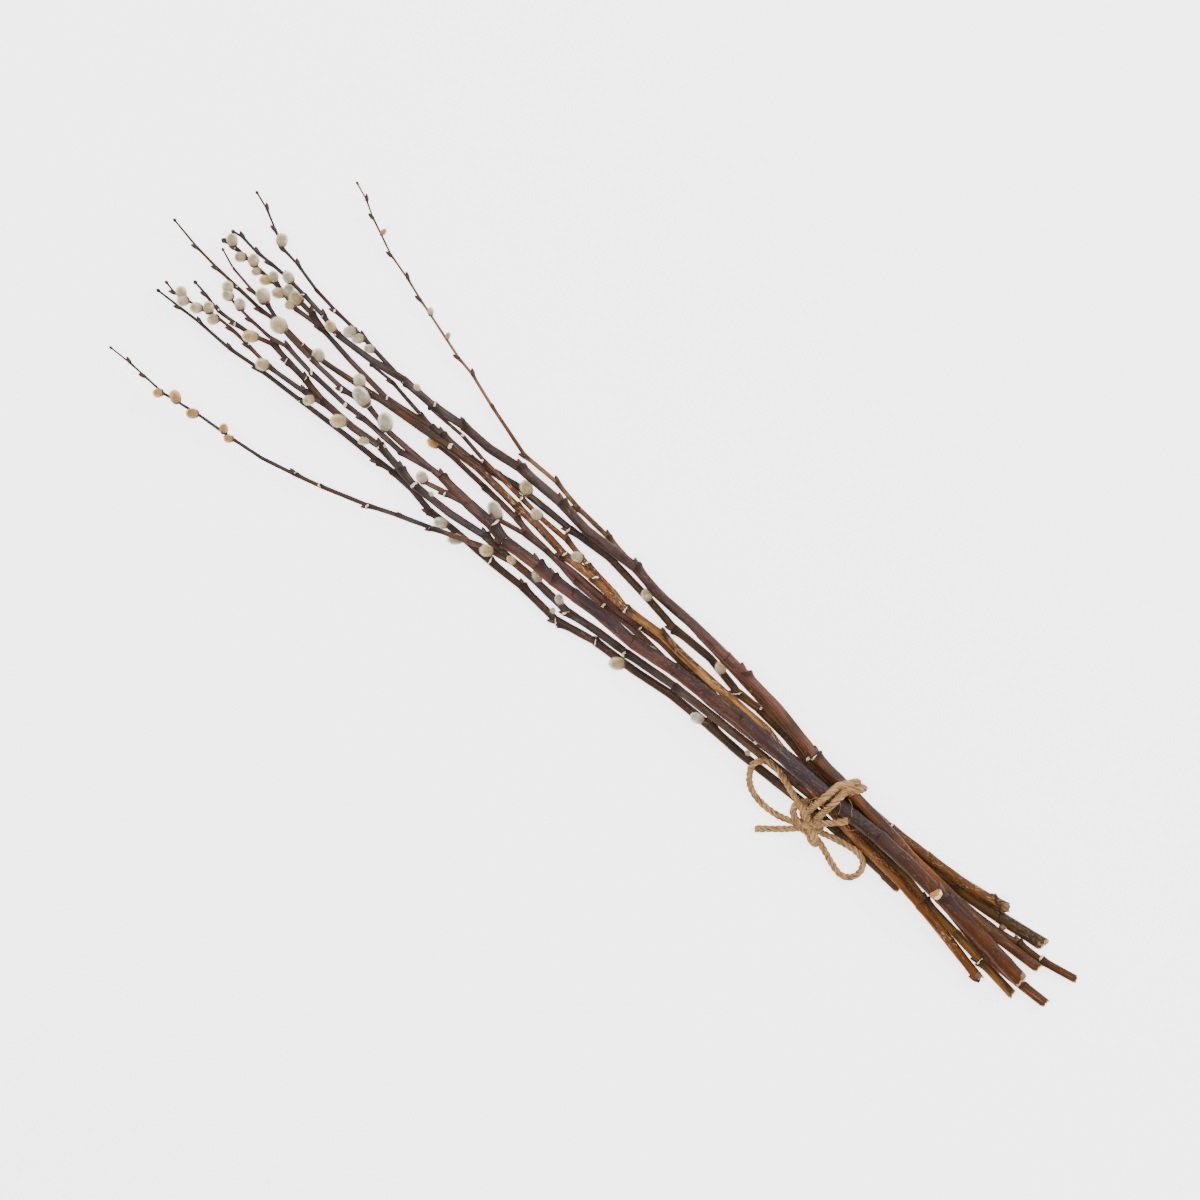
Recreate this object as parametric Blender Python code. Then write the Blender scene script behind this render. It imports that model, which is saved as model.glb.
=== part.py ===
"""A tied bunch of pussy willow, lying on a table.

Nine cut branches with buds, side shoots and furry catkins are held together near their cut ends
by a jute twine that goes twice around them and ends in a bow. Each branch is one body. They are
laid down one after the other, and each one rests on the twine, the table and the branches below.
"""

import math

import bpy
import bmesh
import numpy as np
from mathutils import Vector

# Driving sizes, in millimetres. X runs from the cut ends to the tips, Y across the bunch, Z up.
MM = 0.001
TWINE_D = 3.8
CLEARANCE = 0.47
LENGTH = 660
STATION_START = -10
MIDDLE = (320.52, -17.155)

# How stiff the branches are: the steepest they bend down from a crossing, and how gently.
BRANCH_SLOPE = 0.10
BRANCH_EASE = 8
TWINE_SLOPE = 0.5
TWINE_EASE = 3

# Where the two turns of the twine cross the bunch: station at its left and at its right edge.
TURNS = ((165.0, 158.5), (157.0, 152.5))
TURN_LEFT = 7.0
TURN_RIGHT = -22.0
TURN_REST = (-25.0, 9.0)

# Balls further away than this along the bunch can't touch.
NEAR = 14.0

# Underside points lower than this are pressed flat on the table.
FLAT_BELOW = 0.55

# Rings of a stem are this far apart at most, between two of its nodes.
RING_STEP = 15.0
NODE_SWELL = 1.16

# Each stem has its diameters at some stations, and its nodes as (station, offset, growth).
# A growth of L or R is a bud on the left or the right side, S a leaf scar, and "" a plain bend.
# Catkins are (station, offset, length, width) and grow from the nearest point of their branch.
BRANCHES = {
    "branch_01": {
        "bark": (0.075, 0.050, 0.042),
        "rise": 5.0,
        "stems": [
            {
                "girth": ((102, 5.6), (260, 5.0), (442, 3.8), (530, 2.8), (625, 1.3)),
                "nodes": (
                    (102, 4.4, ""), (114, 3.2, "S"), (138, 2.1, ""), (162, 2.1, ""), (190, 3.2, ""),
                    (216, 4.2, ""), (240, 3.8, "R"), (268, 4.4, ""), (291, 7.4, ""), (318, 9.2, "S"),
                    (342, 14.2, "L"), (368, 12.4, "R"), (391, 13.2, "R"), (417, 12.9, ""),
                    (434, 13.6, "L"), (449, 10.9, ""), (464, 10.3, "S"), (474, 11.2, "L"),
                    (496, 11.8, ""), (528, 13.6, "S"), (557, 15.0, "L"), (576, 17.2, "R"),
                    (598, 16.9, "R"), (612, 17.6, "L"), (625, 18.2, ""),
                ),
            },
        ],
        "catkins": (
            (425, 14.6, 8.8, 6.6), (414, 17.0, 9.9, 6.6), (301, 10.4, 9.6, 7.8), (347, 11.4, 5.0, 3.9),
            (248, 4.9, 10.4, 6.2), (215, 0.6, 5.0, 4.0),
        ),
    },
    "branch_02": {
        "bark": (0.078, 0.052, 0.046),
        "rise": 12.0,
        "stems": [
            {
                "girth": ((17, 5.2), (197, 5.0), (404, 4.4), (512, 4.2), (560, 3.0), (612, 1.4)),
                "nodes": (
                    (17, 8.0, ""), (43, 5.0, "L"), (62, 2.8, "S"), (87, 0.5, "R"), (103, -2.8, ""),
                    (125, -3.9, ""), (160, -3.9, ""), (182, -3.2, "S"), (209, -2.6, ""),
                    (241, -1.6, ""), (269, -0.4, "S"), (301, 2.8, "S"), (322, 4.3, ""), (340, 6.6, "L"),
                    (367, 4.9, ""), (388, 5.0, ""), (402, 4.4, "R"), (424, 7.4, ""),
                    (450, 8.4, "S"), (461, 6.8, "R"), (478, 4.4, "R"), (496, 6.2, ""),
                    (518, 5.7, "S"), (533, 3.2, "R"), (547, 1.4, "L"), (559, -0.2, "R"),
                    (571, 3.4, ""), (582, 4.4, "L"), (594, 5.4, "R"), (605, 2.8, "L"), (612, 1.8, ""),
                ),
            },
            {
                "girth": ((514, 3.4), (561, 2.4), (623, 1.2)),
                "nodes": (
                    (514, 6.2, ""), (529, 8.6, "R"), (553, 10.8, "R"), (569, 9.0, "L"),
                    (582, 8.0, "L"), (593, 8.4, ""), (602, 10.6, "S"), (619, 13.2, "L"),
                    (624, 12.2, ""),
                ),
            },
            {
                "girth": ((378, 3.5), (427, 2.9), (514, 2.2), (572, 1.6), (623, 1.0)),
                "nodes": (
                    (378, 5.0, ""), (398, 9.2, ""), (427, 20.0, "L"), (446, 26.9, "S"),
                    (462, 33.4, "L"), (489, 42.4, "S"), (504, 46.6, "R"), (523, 51.4, ""),
                    (544, 54.0, "L"), (565, 55.8, ""), (588, 59.4, "L"), (602, 58.8, "L"),
                    (613, 58.6, "R"), (624, 59.0, ""),
                ),
            },
        ],
        "catkins": (
            (571, 4.6, 11.0, 7.2), (504, 8.4, 10.5, 7.8), (487, 8.2, 7.2, 5.2), (476, 3.4, 4.2, 3.0),
            (439, 6.4, 4.6, 3.4), (366, 2.6, 8.2, 6.6), (348, 4.6, 7.7, 5.2), (616, 10.6, 6.6, 6.6),
            (612, 13.8, 6.6, 6.6), (604, 12.0, 6.8, 6.6), (599, 7.4, 6.6, 6.6), (593, 11.0, 6.6, 6.6),
            (556, 12.0, 7.7, 7.2), (524, 10.2, 6.8, 6.2), (590, 61.6, 5.6, 5.6), (581, 56.6, 8.2, 6.8),
            (568, 57.6, 7.4, 6.2), (550, 52.0, 5.6, 5.6), (544, 55.4, 5.2, 5.0),
            (396, 9.8, 7.9, 7.2), (382, 5.0, 7.7, 4.6),
        ),
    },
    "branch_03": {
        "bark": (0.110, 0.055, 0.042),
        "rise": 4.0,
        "stems": [
            {
                "girth": ((0, 5.6), (160, 4.9), (300, 4.2), (400, 3.6), (454, 2.8)),
                "nodes": (
                    (0, 0.0, ""), (16, 0.6, "S"), (34, 1.2, ""), (52, -1.0, ""), (75, -5.2, ""),
                    (100, -8.6, "S"), (130, -9.5, ""), (165, -9.5, ""), (190, -8.6, ""),
                    (215, -7.2, "S"), (235, -6.6, ""), (250, -6.2, ""), (267, -7.0, ""),
                    (282, -8.0, "S"), (308, -9.8, ""), (327, -9.0, "R"), (348, -8.8, "S"), (360, -10.8, ""),
                    (383, -12.3, ""), (395, -14.2, "R"), (420, -16.0, "S"), (443, -17.2, ""),
                    (454, -16.8, ""),
                ),
            },
        ],
        "catkins": ((457, -16.4, 7.2, 6.6), (292, -7.0, 9.9, 4.6)),
    },
    "branch_04": {
        "bark": (0.105, 0.068, 0.040),
        "rise": 10.0,
        "stems": [
            {
                "girth": ((22, 7.6), (110, 6.2), (200, 4.9), (407, 4.0), (540, 2.9), (614, 2.0)),
                "nodes": (
                    (22, -24.0, ""), (50, -19.8, "S"), (80, -16.6, "R"), (112, -15.7, ""),
                    (140, -15.7, ""), (162, -15.5, ""), (180, -15.2, "S"), (203, -19.2, ""),
                    (225, -21.0, "S"),
                    (240, -20.4, "L"), (264, -25.0, ""), (290, -24.6, "L"), (312, -27.8, ""),
                    (342, -31.0, ""), (369, -29.0, "L"), (391, -28.6, ""), (408, -28.0, ""),
                    (417, -25.6, "R"), (436, -22.9, "S"), (456, -22.8, "R"), (463, -22.2, "S"),
                    (492, -18.2, "S"), (521, -21.0, ""), (545, -24.4, "L"), (562, -23.2, "S"),
                    (578, -26.2, "R"), (595, -26.6, "S"), (609, -27.4, "L"), (615, -26.4, ""),
                ),
            },
            {
                "girth": ((463, 2.8), (509, 1.7)),
                "nodes": (
                    (463, -22.2, ""), (473, -23.6, "S"), (487, -25.6, ""), (496, -27.2, "L"),
                    (509, -26.8, ""),
                ),
            },
            {
                "girth": ((543, 3.5), (562, 2.9)),
                "nodes": ((543, -24.2, ""), (554, -26.8, "R"), (562, -27.6, "")),
            },
        ],
        "catkins": (
            (614, -29.8, 7.4, 6.6), (604, -24.8, 6.6, 6.2), (597, -28.4, 7.2, 6.6),
            (592, -24.6, 5.6, 5.2), (585, -24.4, 6.8, 6.2), (583, -28.8, 6.8, 6.2),
            (575, -23.6, 7.2, 6.6), (566, -22.6, 5.6, 5.6), (402, -30.6, 8.8, 7.8),
            (313, -28.8, 7.4, 6.8), (256, -24.4, 7.4, 6.8), (568, -27.6, 9.0, 7.8),
            (572, -29.6, 8.0, 7.0),
        ),
    },
    "branch_05": {
        "bark": (0.085, 0.045, 0.042),
        "rise": 6.0,
        "stems": [
            {
                "girth": ((-4, 4.6), (120, 4.2), (264, 3.9), (404, 2.9)),
                "nodes": (
                    (-4, -21.0, ""), (18, -16.4, "S"), (33, -15.2, "R"), (47, -12.9, ""),
                    (62, -12.2, ""), (100, -12.4, ""), (139, -12.6, "S"), (165, -12.6, ""),
                    (190, -12.8, ""), (222, -11.6, "S"), (247, -10.6, ""), (262, -11.6, ""),
                    (290, -14.2, ""), (303, -13.4, "S"),
                    (318, -11.9, ""), (350, -12.2, ""), (371, -11.2, "S"), (386, -10.6, "R"),
                    (402, -7.4, ""),
                ),
            },
        ],
        "catkins": ((408, -10.4, 12.1, 7.8),),
    },
    "branch_06": {
        "bark": (0.230, 0.095, 0.038),
        "rise": 9.0,
        "stems": [
            {
                "girth": ((37, 5.6), (219, 5.2), (431, 4.4), (500, 3.6), (550, 2.9), (643, 1.1)),
                "nodes": (
                    (37, 13.4, "L"), (62, 8.3, ""), (88, 3.5, "S"), (106, 0.8, ""), (126, -0.6, ""),
                    (145, -2.0, ""), (165, -5.4, ""), (184, -8.4, ""), (200, -11.6, "S"),
                    (215, -15.0, ""), (230, -15.0, ""), (252, -15.4, ""),
                    (276, -16.2, ""), (291, -17.4, "R"), (317, -15.4, "S"), (341, -16.6, "S"),
                    (362, -16.2, "L"), (384, -18.9, ""), (400, -19.4, "S"), (430, -21.6, ""),
                    (448, -20.0, "S"), (471, -17.6, ""), (500, -14.8, "L"), (528, -11.3, ""),
                    (546, -10.0, "S"), (560, -11.4, ""), (577, -10.4, "L"), (595, -11.4, "L"),
                    (610, -12.2, "L"), (626, -13.8, "L"), (643, -16.8, ""),
                ),
            },
            {
                "girth": ((317, 3.6), (389, 3.0), (469, 1.9)),
                "nodes": (
                    (317, -15.4, ""), (327, -18.0, ""), (349, -20.3, "S"), (366, -23.2, "R"),
                    (383, -23.1, ""), (400, -24.4, "S"), (413, -25.5, ""), (429, -26.8, "S"),
                    (447, -29.6, "S"), (469, -29.6, ""),
                ),
            },
        ],
        "catkins": (
            (536, -11.9, 7.7, 7.2), (510, -15.9, 7.7, 7.2), (388, -23.2, 7.2, 6.6),
            (356, -19.4, 7.4, 7.2),
        ),
    },
    "branch_07": {
        "bark": (0.180, 0.085, 0.045),
        "rise": 7.0,
        "stems": [
            {
                "girth": ((50, 5.6), (200, 4.8), (320, 3.4), (394, 2.7), (480, 1.6), (580, 1.0)),
                "nodes": (
                    (50, -27.0, ""), (57, -24.6, "R"), (78, -21.2, ""), (101, -19.6, "S"),
                    (128, -18.2, "S"), (148, -18.2, ""), (165, -17.8, ""), (187, -19.2, "S"),
                    (204, -23.6, ""), (220, -24.6, ""),
                    (249, -27.9, ""), (277, -30.9, "R"), (302, -34.0, ""), (335, -37.0, ""),
                    (350, -39.2, "R"), (373, -40.7, "L"), (391, -43.8, "R"), (414, -43.6, "L"),
                    (446, -52.6, "S"), (465, -58.8, "R"), (477, -61.0, "L"), (514, -71.8, "L"),
                    (527, -76.0, "R"), (542, -79.9, "L"), (563, -89.2, "L"), (572, -94.2, "R"),
                    (580, -97.2, ""),
                ),
            },
        ],
        "catkins": ((553, -87.6, 4.6, 3.4), (505, -70.3, 4.8, 4.0), (489, -66.2, 4.6, 3.4)),
    },
    "branch_08": {
        "bark": (0.120, 0.062, 0.048),
        "rise": 13.0,
        "stems": [
            {
                "girth": ((16, 5.6), (195, 6.2), (404, 5.5), (500, 4.4), (540, 3.0), (613, 1.5)),
                "nodes": (
                    (16, -12.2, ""), (49, -10.4, "S"), (76, -11.6, ""), (108, -13.4, "S"),
                    (134, -16.9, ""), (160, -19.4, ""), (185, -21.4, "R"), (218, -28.0, ""),
                    (245, -30.4, "R"), (258, -31.2, "S"), (284, -32.8, ""), (308, -33.0, ""),
                    (327, -36.2, "R"), (337, -35.6, ""), (361, -34.2, ""), (382, -36.6, "R"),
                    (411, -36.6, "R"), (431, -33.8, ""), (450, -34.0, "R"), (470, -31.6, "S"),
                    (492, -32.0, "S"), (512, -28.8, ""), (536, -27.0, "R"), (548, -30.0, "R"),
                    (564, -32.0, "S"), (577, -33.2, "R"), (589, -33.4, "L"), (598, -32.9, "R"),
                    (610, -34.2, "R"), (614, -33.4, ""),
                ),
            },
            {
                "girth": ((496, 2.8), (560, 2.0), (618, 1.1)),
                "nodes": (
                    (496, -31.8, ""), (524, -35.2, "R"), (545, -36.6, "L"), (560, -38.4, "S"),
                    (577, -42.4, "R"), (588, -43.8, "L"), (599, -49.2, "L"), (610, -54.8, "R"),
                    (618, -57.4, ""),
                ),
            },
        ],
        "catkins": (
            (576, -33.6, 7.2, 6.6), (541, -28.2, 7.4, 6.4), (532, -31.8, 7.7, 7.2),
            (526, -32.4, 7.2, 6.2), (517, -32.8, 6.6, 5.2), (483, -33.2, 5.2, 4.6),
            (592, -47.0, 7.9, 7.2),
        ),
    },
    "branch_09": {
        "bark": (0.145, 0.062, 0.055),
        "rise": 15.0,
        "stems": [
            {
                "girth": ((19, 8.8), (200, 8.0), (330, 7.2), (424, 6.4), (448, 3.6), (560, 2.6), (612, 1.0)),
                "nodes": (
                    (19, -0.8, ""), (51, -4.6, ""), (83, -7.4, "R"), (107, -9.4, ""), (130, -10.2, "S"),
                    (160, -9.2, ""), (194, -9.6, ""), (229, -10.4, "S"), (252, -8.4, ""),
                    (275, -7.2, "S"), (302, -3.8, "S"), (327, -4.0, ""), (343, -2.8, "S"),
                    (358, -1.6, "R"), (370, -2.0, "R"), (392, -0.6, "L"), (403, -2.8, "R"),
                    (420, -3.2, "S"), (441, -4.8, "R"), (452, -4.4, ""), (479, -4.8, ""),
                    (497, -8.4, "S"), (514, -6.4, "L"), (538, -7.6, "S"), (557, -9.6, ""),
                    (575, -14.6, "R"), (587, -15.4, "L"), (603, -18.0, "S"), (612, -21.4, ""),
                ),
            },
            {
                "girth": ((448, 3.6), (542, 2.8), (597, 1.4)),
                "nodes": (
                    (448, -4.4, ""), (467, -0.8, "S"), (495, -1.6, "L"), (507, -0.8, "S"),
                    (533, -2.0, "S"), (552, -4.2, "R"), (563, -2.0, ""), (577, -2.6, "L"),
                    (591, -3.8, ""), (597, -7.2, ""),
                ),
            },
            {
                "girth": ((418, 3.8), (448, 2.7)),
                "nodes": ((418, -3.0, ""), (434, 0.2, "L"), (446, 3.2, "")),
            },
        ],
        "catkins": (
            (580, -16.8, 8.8, 8.2), (563, -10.2, 10.5, 9.4), (503, -9.8, 13.2, 8.8),
            (484, -7.8, 12.1, 8.8), (598, -8.0, 6.6, 6.6), (595, -4.6, 6.6, 6.6), (587, -5.4, 6.8, 6.6),
            (450, 2.0, 7.2, 6.8),
        ),
    },
}

# The bow, as (station, offset) along each run of twine that leaves the knot. Both ends of a loop
# lie in the knot, and a tail has only its first point there.
KNOT = (162.5, 10.4)
KNOT_HALF = (7.0, 4.2, 4.2)
BOW_RUNS = {
    "upper_loop": (
        (166, 9.6), (171, 6.2), (177, 3.6), (185, 1.0), (194, -1.8), (201, -2.6), (206.5, 0.2),
        (208.2, 5.0), (205.8, 10.0), (202, 14.0), (196, 16.6), (188, 17.6), (179.5, 16.8),
        (172, 14.4), (166, 12.0),
    ),
    "lower_loop": (
        (159, 12.0), (153.5, 13.0), (146, 15.4), (138, 18.2), (131.5, 19.2), (126.6, 16.4),
        (125, 11.2), (127, 6.4), (132, 4.0), (139, 4.4), (146.5, 6.0), (153, 7.8), (159, 9.4),
    ),
    "left_tail": ((164, 12.0), (168, 16.4), (174, 22.0), (184, 30.4)),
    "right_tail": ((163, 9.6), (159.5, 5.4), (155, 0.8), (149.2, -5.6)),
}
LOOPS = ("upper_loop", "lower_loop")
TWINE_COLOUR = (0.46, 0.30, 0.15)
FUR_COLOUR = (0.62, 0.57, 0.47)


def material(name, colour, roughness):
    """Plain surface in one colour."""
    made = bpy.data.materials.new(name)
    made.use_nodes = True
    shader = made.node_tree.nodes["Principled BSDF"]
    shader.inputs["Base Color"].default_value = (*colour, 1.0)
    shader.inputs["Roughness"].default_value = roughness
    shader.inputs["Metallic"].default_value = 0.0
    return made


def ease(value):
    """Smooth step from 0 to 1."""
    value = min(max(value, 0.0), 1.0)
    return value * value * (3.0 - 2.0 * value)


def girth_at(stem, station):
    """Radius of a stem at a station along the bunch."""
    stations = [point[0] for point in stem["girth"]]
    diameters = [point[1] for point in stem["girth"]]
    return 0.5 * float(np.interp(station, stations, diameters))


def rest_height(branch, stem, station, radius):
    """Height of a stem's axis over the table, before the branch is laid on the others."""
    start = stem["nodes"][0][0]
    from_root = ease((station - start) / 40.0)
    lead = stem["root_radius"] if stem["root_radius"] else radius
    along = ease((station - 0.4 * LENGTH) / (0.6 * LENGTH))
    return lead + (radius - lead) * from_root + branch["rise"] * along


def stem_points(branch, stem, step):
    """Points (x, y, z, radius, growth) along a stem: its nodes, and others between them."""
    nodes = stem["nodes"]
    points = []
    for first, second in zip(nodes, nodes[1:]):
        span = math.hypot(second[0] - first[0], second[1] - first[1])
        pieces = max(1, math.ceil(span / step))
        for index in range(pieces):
            part = index / pieces
            x = first[0] + (second[0] - first[0]) * part
            y = first[1] + (second[1] - first[1]) * part
            radius = girth_at(stem, x)
            growth = first[2] if index == 0 else None
            points.append((x, y, rest_height(branch, stem, x, radius), radius, growth))
    x, y = nodes[-1][0], nodes[-1][1]
    radius = girth_at(stem, x)
    points.append((x, y, rest_height(branch, stem, x, radius), radius, "tip"))
    return points


def bud_line(node, heading, radius, growth):
    """Root and point of a bud on the left or right of a node."""
    side = 1.0 if growth == "L" else -1.0
    outward = Vector((-heading.y, heading.x, 0.0)).normalized() * side
    reach = 2.6 + 0.9 * radius
    root = node - heading * 1.2
    point = node + heading * reach + outward * (radius + 1.5) + Vector((0.0, 0.0, 0.3 * radius))
    return root, point


def catkin_line(axis_points, catkin):
    """Root and centre of a catkin: its root on the stem's axis, its centre out to the side or up."""
    x, y, length, width = catkin
    reach = 0.46 * length
    root_x = x - 0.34 * length
    gaps = [math.hypot(point[0] - root_x, point[1] - y) for point in axis_points]
    nearest = axis_points[gaps.index(min(gaps))]
    root = Vector(nearest[:3])
    aside = Vector((x - root.x, y - root.y, 0.0))
    if aside.length >= 0.94 * reach:
        aside = aside.normalized() * 0.94 * reach
    up = math.sqrt(reach * reach - aside.length_squared)
    return root, root + aside + Vector((0.0, 0.0, up))


def heading_at(points, index):
    """Direction of a stem at one of its points."""
    before = Vector(points[max(index - 1, 0)][:3])
    after = Vector(points[min(index + 1, len(points) - 1)][:3])
    return (after - before).normalized()


def branch_spheres(branch):
    """Balls that fill a branch before it is laid: stems, buds and catkins."""
    balls = []
    axis = []
    for stem in branch["stems"]:
        points = stem_points(branch, stem, 1.0)
        axis.extend(points)
        for index, (x, y, z, radius, growth) in enumerate(points):
            swell = NODE_SWELL if growth in ("L", "R", "S") else 1.0
            balls.append((x, y, z, radius * swell))
            if growth in ("L", "R"):
                heading = heading_at(points, index)
                root, point = bud_line(Vector((x, y, z)), heading, radius, growth)
                for part, size in ((0.4, 1.0), (0.7, 0.85), (1.0, 0.3)):
                    spot = root.lerp(point, part)
                    balls.append((spot.x, spot.y, spot.z, bud_radius(radius) * size))
    for catkin in branch["catkins"]:
        root, centre = catkin_line(axis, catkin)
        along = (centre - root).normalized()
        half = 0.5 * catkin[2]
        for part, size in ((-0.72, 0.78), (-0.4, 0.96), (0.0, 1.0), (0.4, 0.93), (0.75, 0.68)):
            spot = centre + along * half * part
            balls.append((spot.x, spot.y, spot.z, 0.5 * catkin[3] * size))
    return np.array(balls)


def bud_radius(stem_radius):
    """Half width of a bud on a stem of this radius."""
    return 0.75 + 0.22 * stem_radius


def settled(need, slope, ease_width):
    """A gentle curve that stays on or over every needed height."""
    curve = need.copy()
    for index in range(1, len(curve)):
        curve[index] = max(curve[index], curve[index - 1] - slope)
    for index in range(len(curve) - 2, -1, -1):
        curve[index] = max(curve[index], curve[index + 1] - slope)
    padded = np.pad(curve, ease_width, mode="edge")
    spread = np.array([padded[i:i + 2 * ease_width + 1].max() for i in range(len(curve))])
    half = ease_width // 2
    window = np.ones(2 * half + 1) / (2 * half + 1)
    for _ in range(2):
        padded = np.pad(spread, half, mode="edge")
        spread = np.convolve(padded, window, mode="valid")
    return spread


def lift_over(balls, laid):
    """How far a branch is lifted at each station, to lie on the table and on what is laid."""
    need = np.zeros(LENGTH)
    slot = np.clip(np.floor(balls[:, 0] - STATION_START).astype(int), 0, LENGTH - 1)
    for station in range(LENGTH):
        mine = balls[slot == station]
        if len(mine) == 0:
            continue
        need[station] = max(0.0, float((mine[:, 3] - mine[:, 2]).max()))
        near = laid[np.abs(laid[:, 0] - STATION_START - station) < NEAR]
        if len(near) == 0:
            continue
        reach = mine[:, None, 3] + near[None, :, 3] + CLEARANCE
        apart = (mine[:, None, 0] - near[None, :, 0]) ** 2 + (mine[:, None, 1] - near[None, :, 1]) ** 2
        over = reach * reach - apart
        rise = near[None, :, 2] + np.sqrt(np.maximum(over, 0.0)) - mine[:, None, 2]
        rise = np.where(over > 0.0, rise, 0.0)
        need[station] = max(need[station], float(rise.max()))
    return settled(need, BRANCH_SLOPE, BRANCH_EASE)


def turn_station(turn, offset):
    """Station of a turn of twine where it crosses the bunch at this offset."""
    left, right = TURNS[turn]
    return float(np.interp(offset, (TURN_RIGHT, TURN_LEFT), (right, left)))


def lay_branches():
    """Lay the branches in order. Returns each one's lift and the balls of them all."""
    laid = []
    for turn in range(len(TURNS)):
        for offset in np.arange(*TURN_REST, 0.5):
            laid.append((turn_station(turn, offset), offset, TWINE_D / 2, TWINE_D / 2))
    twine_balls = len(laid)
    laid = np.array(laid)
    lifts = {}
    for name, branch in BRANCHES.items():
        balls = branch_spheres(branch)
        lift = lift_over(balls, laid)
        lifts[name] = lift
        balls[:, 2] += lift_value(lift, balls[:, 0])
        laid = np.vstack((laid, balls))
    return lifts, laid[twine_balls:]


def lift_value(lift, station):
    """Lift at any station, read from the lifts at whole ones."""
    return np.interp(np.asarray(station) - STATION_START, np.arange(LENGTH) + 0.5, lift)


def mesh_object(name, vertices, faces, surface):
    """Object in the scene from points in millimetres."""
    mesh = bpy.data.meshes.new(name)
    placed = [((x - MIDDLE[0]) * MM, (y - MIDDLE[1]) * MM, z * MM) for x, y, z in vertices]
    mesh.from_pydata(placed, [], faces)
    mesh.materials.append(surface)
    made = bpy.data.objects.new(name, mesh)
    bpy.context.scene.collection.objects.link(made)
    return made


def frame_of(heading):
    """Sideways and upward directions of a ring that faces along the heading."""
    upright = Vector((0.0, 0.0, 1.0))
    if abs(heading.z) > 0.95:
        upright = Vector((1.0, 0.0, 0.0))
    aside = upright.cross(heading).normalized()
    return aside, heading.cross(aside).normalized()


def ring(centre, heading, radius, sides):
    """Corners of a ring with a flat side underneath."""
    aside, up = frame_of(heading)
    turn = math.pi / sides - math.pi / 2
    corners = []
    for index in range(sides):
        angle = turn + 2.0 * math.pi * index / sides
        corners.append(centre + (aside * math.cos(angle) + up * math.sin(angle)) * radius)
    return corners


def skin(rings, start_point, end_point):
    """Points and faces of a closed body through rings, from one point to another."""
    sides = len(rings[0])
    vertices = [corner for corners in rings for corner in corners]
    faces = []
    for row in range(len(rings) - 1):
        for index in range(sides):
            after = (index + 1) % sides
            low = row * sides
            high = low + sides
            faces.append((low + index, low + after, high + after, high + index))
    first = len(vertices)
    vertices.append(start_point)
    vertices.append(end_point)
    last_row = (len(rings) - 1) * sides
    for index in range(sides):
        after = (index + 1) % sides
        faces.append((first, after, index))
        faces.append((first + 1, last_row + index, last_row + after))
    return vertices, faces


def press_flat(vertices):
    """The underside, where it is close to the table, lies flat on it."""
    pressed = []
    for point in vertices:
        pressed.append((point[0], point[1], 0.0 if point[2] < FLAT_BELOW else point[2]))
    return pressed


def stem_body(points, sides, cut_start):
    """A stem: a ring at each point, swollen at its nodes, a flat cut and a bud at the tip."""
    rings = []
    for index, (x, y, z, radius, growth) in enumerate(points):
        swell = NODE_SWELL if growth in ("L", "R", "S") else 1.0
        rings.append(ring(Vector((x, y, z)), heading_at(points, index), radius * swell, sides))
    heading = heading_at(points, len(points) - 1)
    tip = Vector(points[-1][:3])
    radius = points[-1][3]
    rings.append(ring(tip + heading * 1.0, heading, radius * 1.25, sides))
    start = Vector(points[0][:3])
    if not cut_start:
        start = start - heading_at(points, 0) * 0.4
    return skin(rings, start, tip + heading * (2.0 + radius))


def bud_body(root, point, radius):
    """A pointed bud of four sides."""
    along = (point - root).normalized()
    rings = [
        ring(root.lerp(point, 0.38), along, radius, 4),
        ring(root.lerp(point, 0.72), along, radius * 0.8, 4),
    ]
    return skin(rings, root, point)


def catkin_body(root, centre, length, width):
    """An egg of fur that narrows to its root inside the stem."""
    along = (centre - root).normalized()
    half = 0.5 * length
    rings = []
    for part, size in ((-0.62, 0.76), (-0.02, 1.0), (0.60, 0.78)):
        rings.append(ring(centre + along * half * part, along, 0.5 * width * size, 6))
    return skin(rings, root - along * 0.3, centre + along * half)


def union(target, others):
    """Fuse the other objects into the target."""
    pieces = bpy.data.collections.new(target.name + "_pieces")
    bpy.context.scene.collection.children.link(pieces)
    for other in others:
        pieces.objects.link(other)
    fuse = target.modifiers.new("fuse", "BOOLEAN")
    fuse.operation = "UNION"
    fuse.operand_type = "COLLECTION"
    fuse.collection = pieces
    fuse.solver = "EXACT"
    fuse.use_self = True
    fuse.material_mode = "TRANSFER"
    depsgraph = bpy.context.evaluated_depsgraph_get()
    fused = bpy.data.meshes.new_from_object(target.evaluated_get(depsgraph))
    fused.name = target.name
    target.modifiers.clear()
    target.data = fused
    for other in others:
        bpy.data.objects.remove(other, do_unlink=True)
    bpy.data.collections.remove(pieces)


def tidy(made):
    """Merge doubled points, drop scraps of no area, and cut every face into triangles."""
    work = bmesh.new()
    work.from_mesh(made.data)
    bmesh.ops.remove_doubles(work, verts=work.verts, dist=0.02 * MM)
    bmesh.ops.dissolve_degenerate(work, edges=work.edges, dist=0.02 * MM)
    bmesh.ops.triangulate(work, faces=work.faces)
    work.to_mesh(made.data)
    work.free()
    made.data.shade_smooth()
    made.data.set_sharp_from_angle(angle=math.radians(50))


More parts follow.
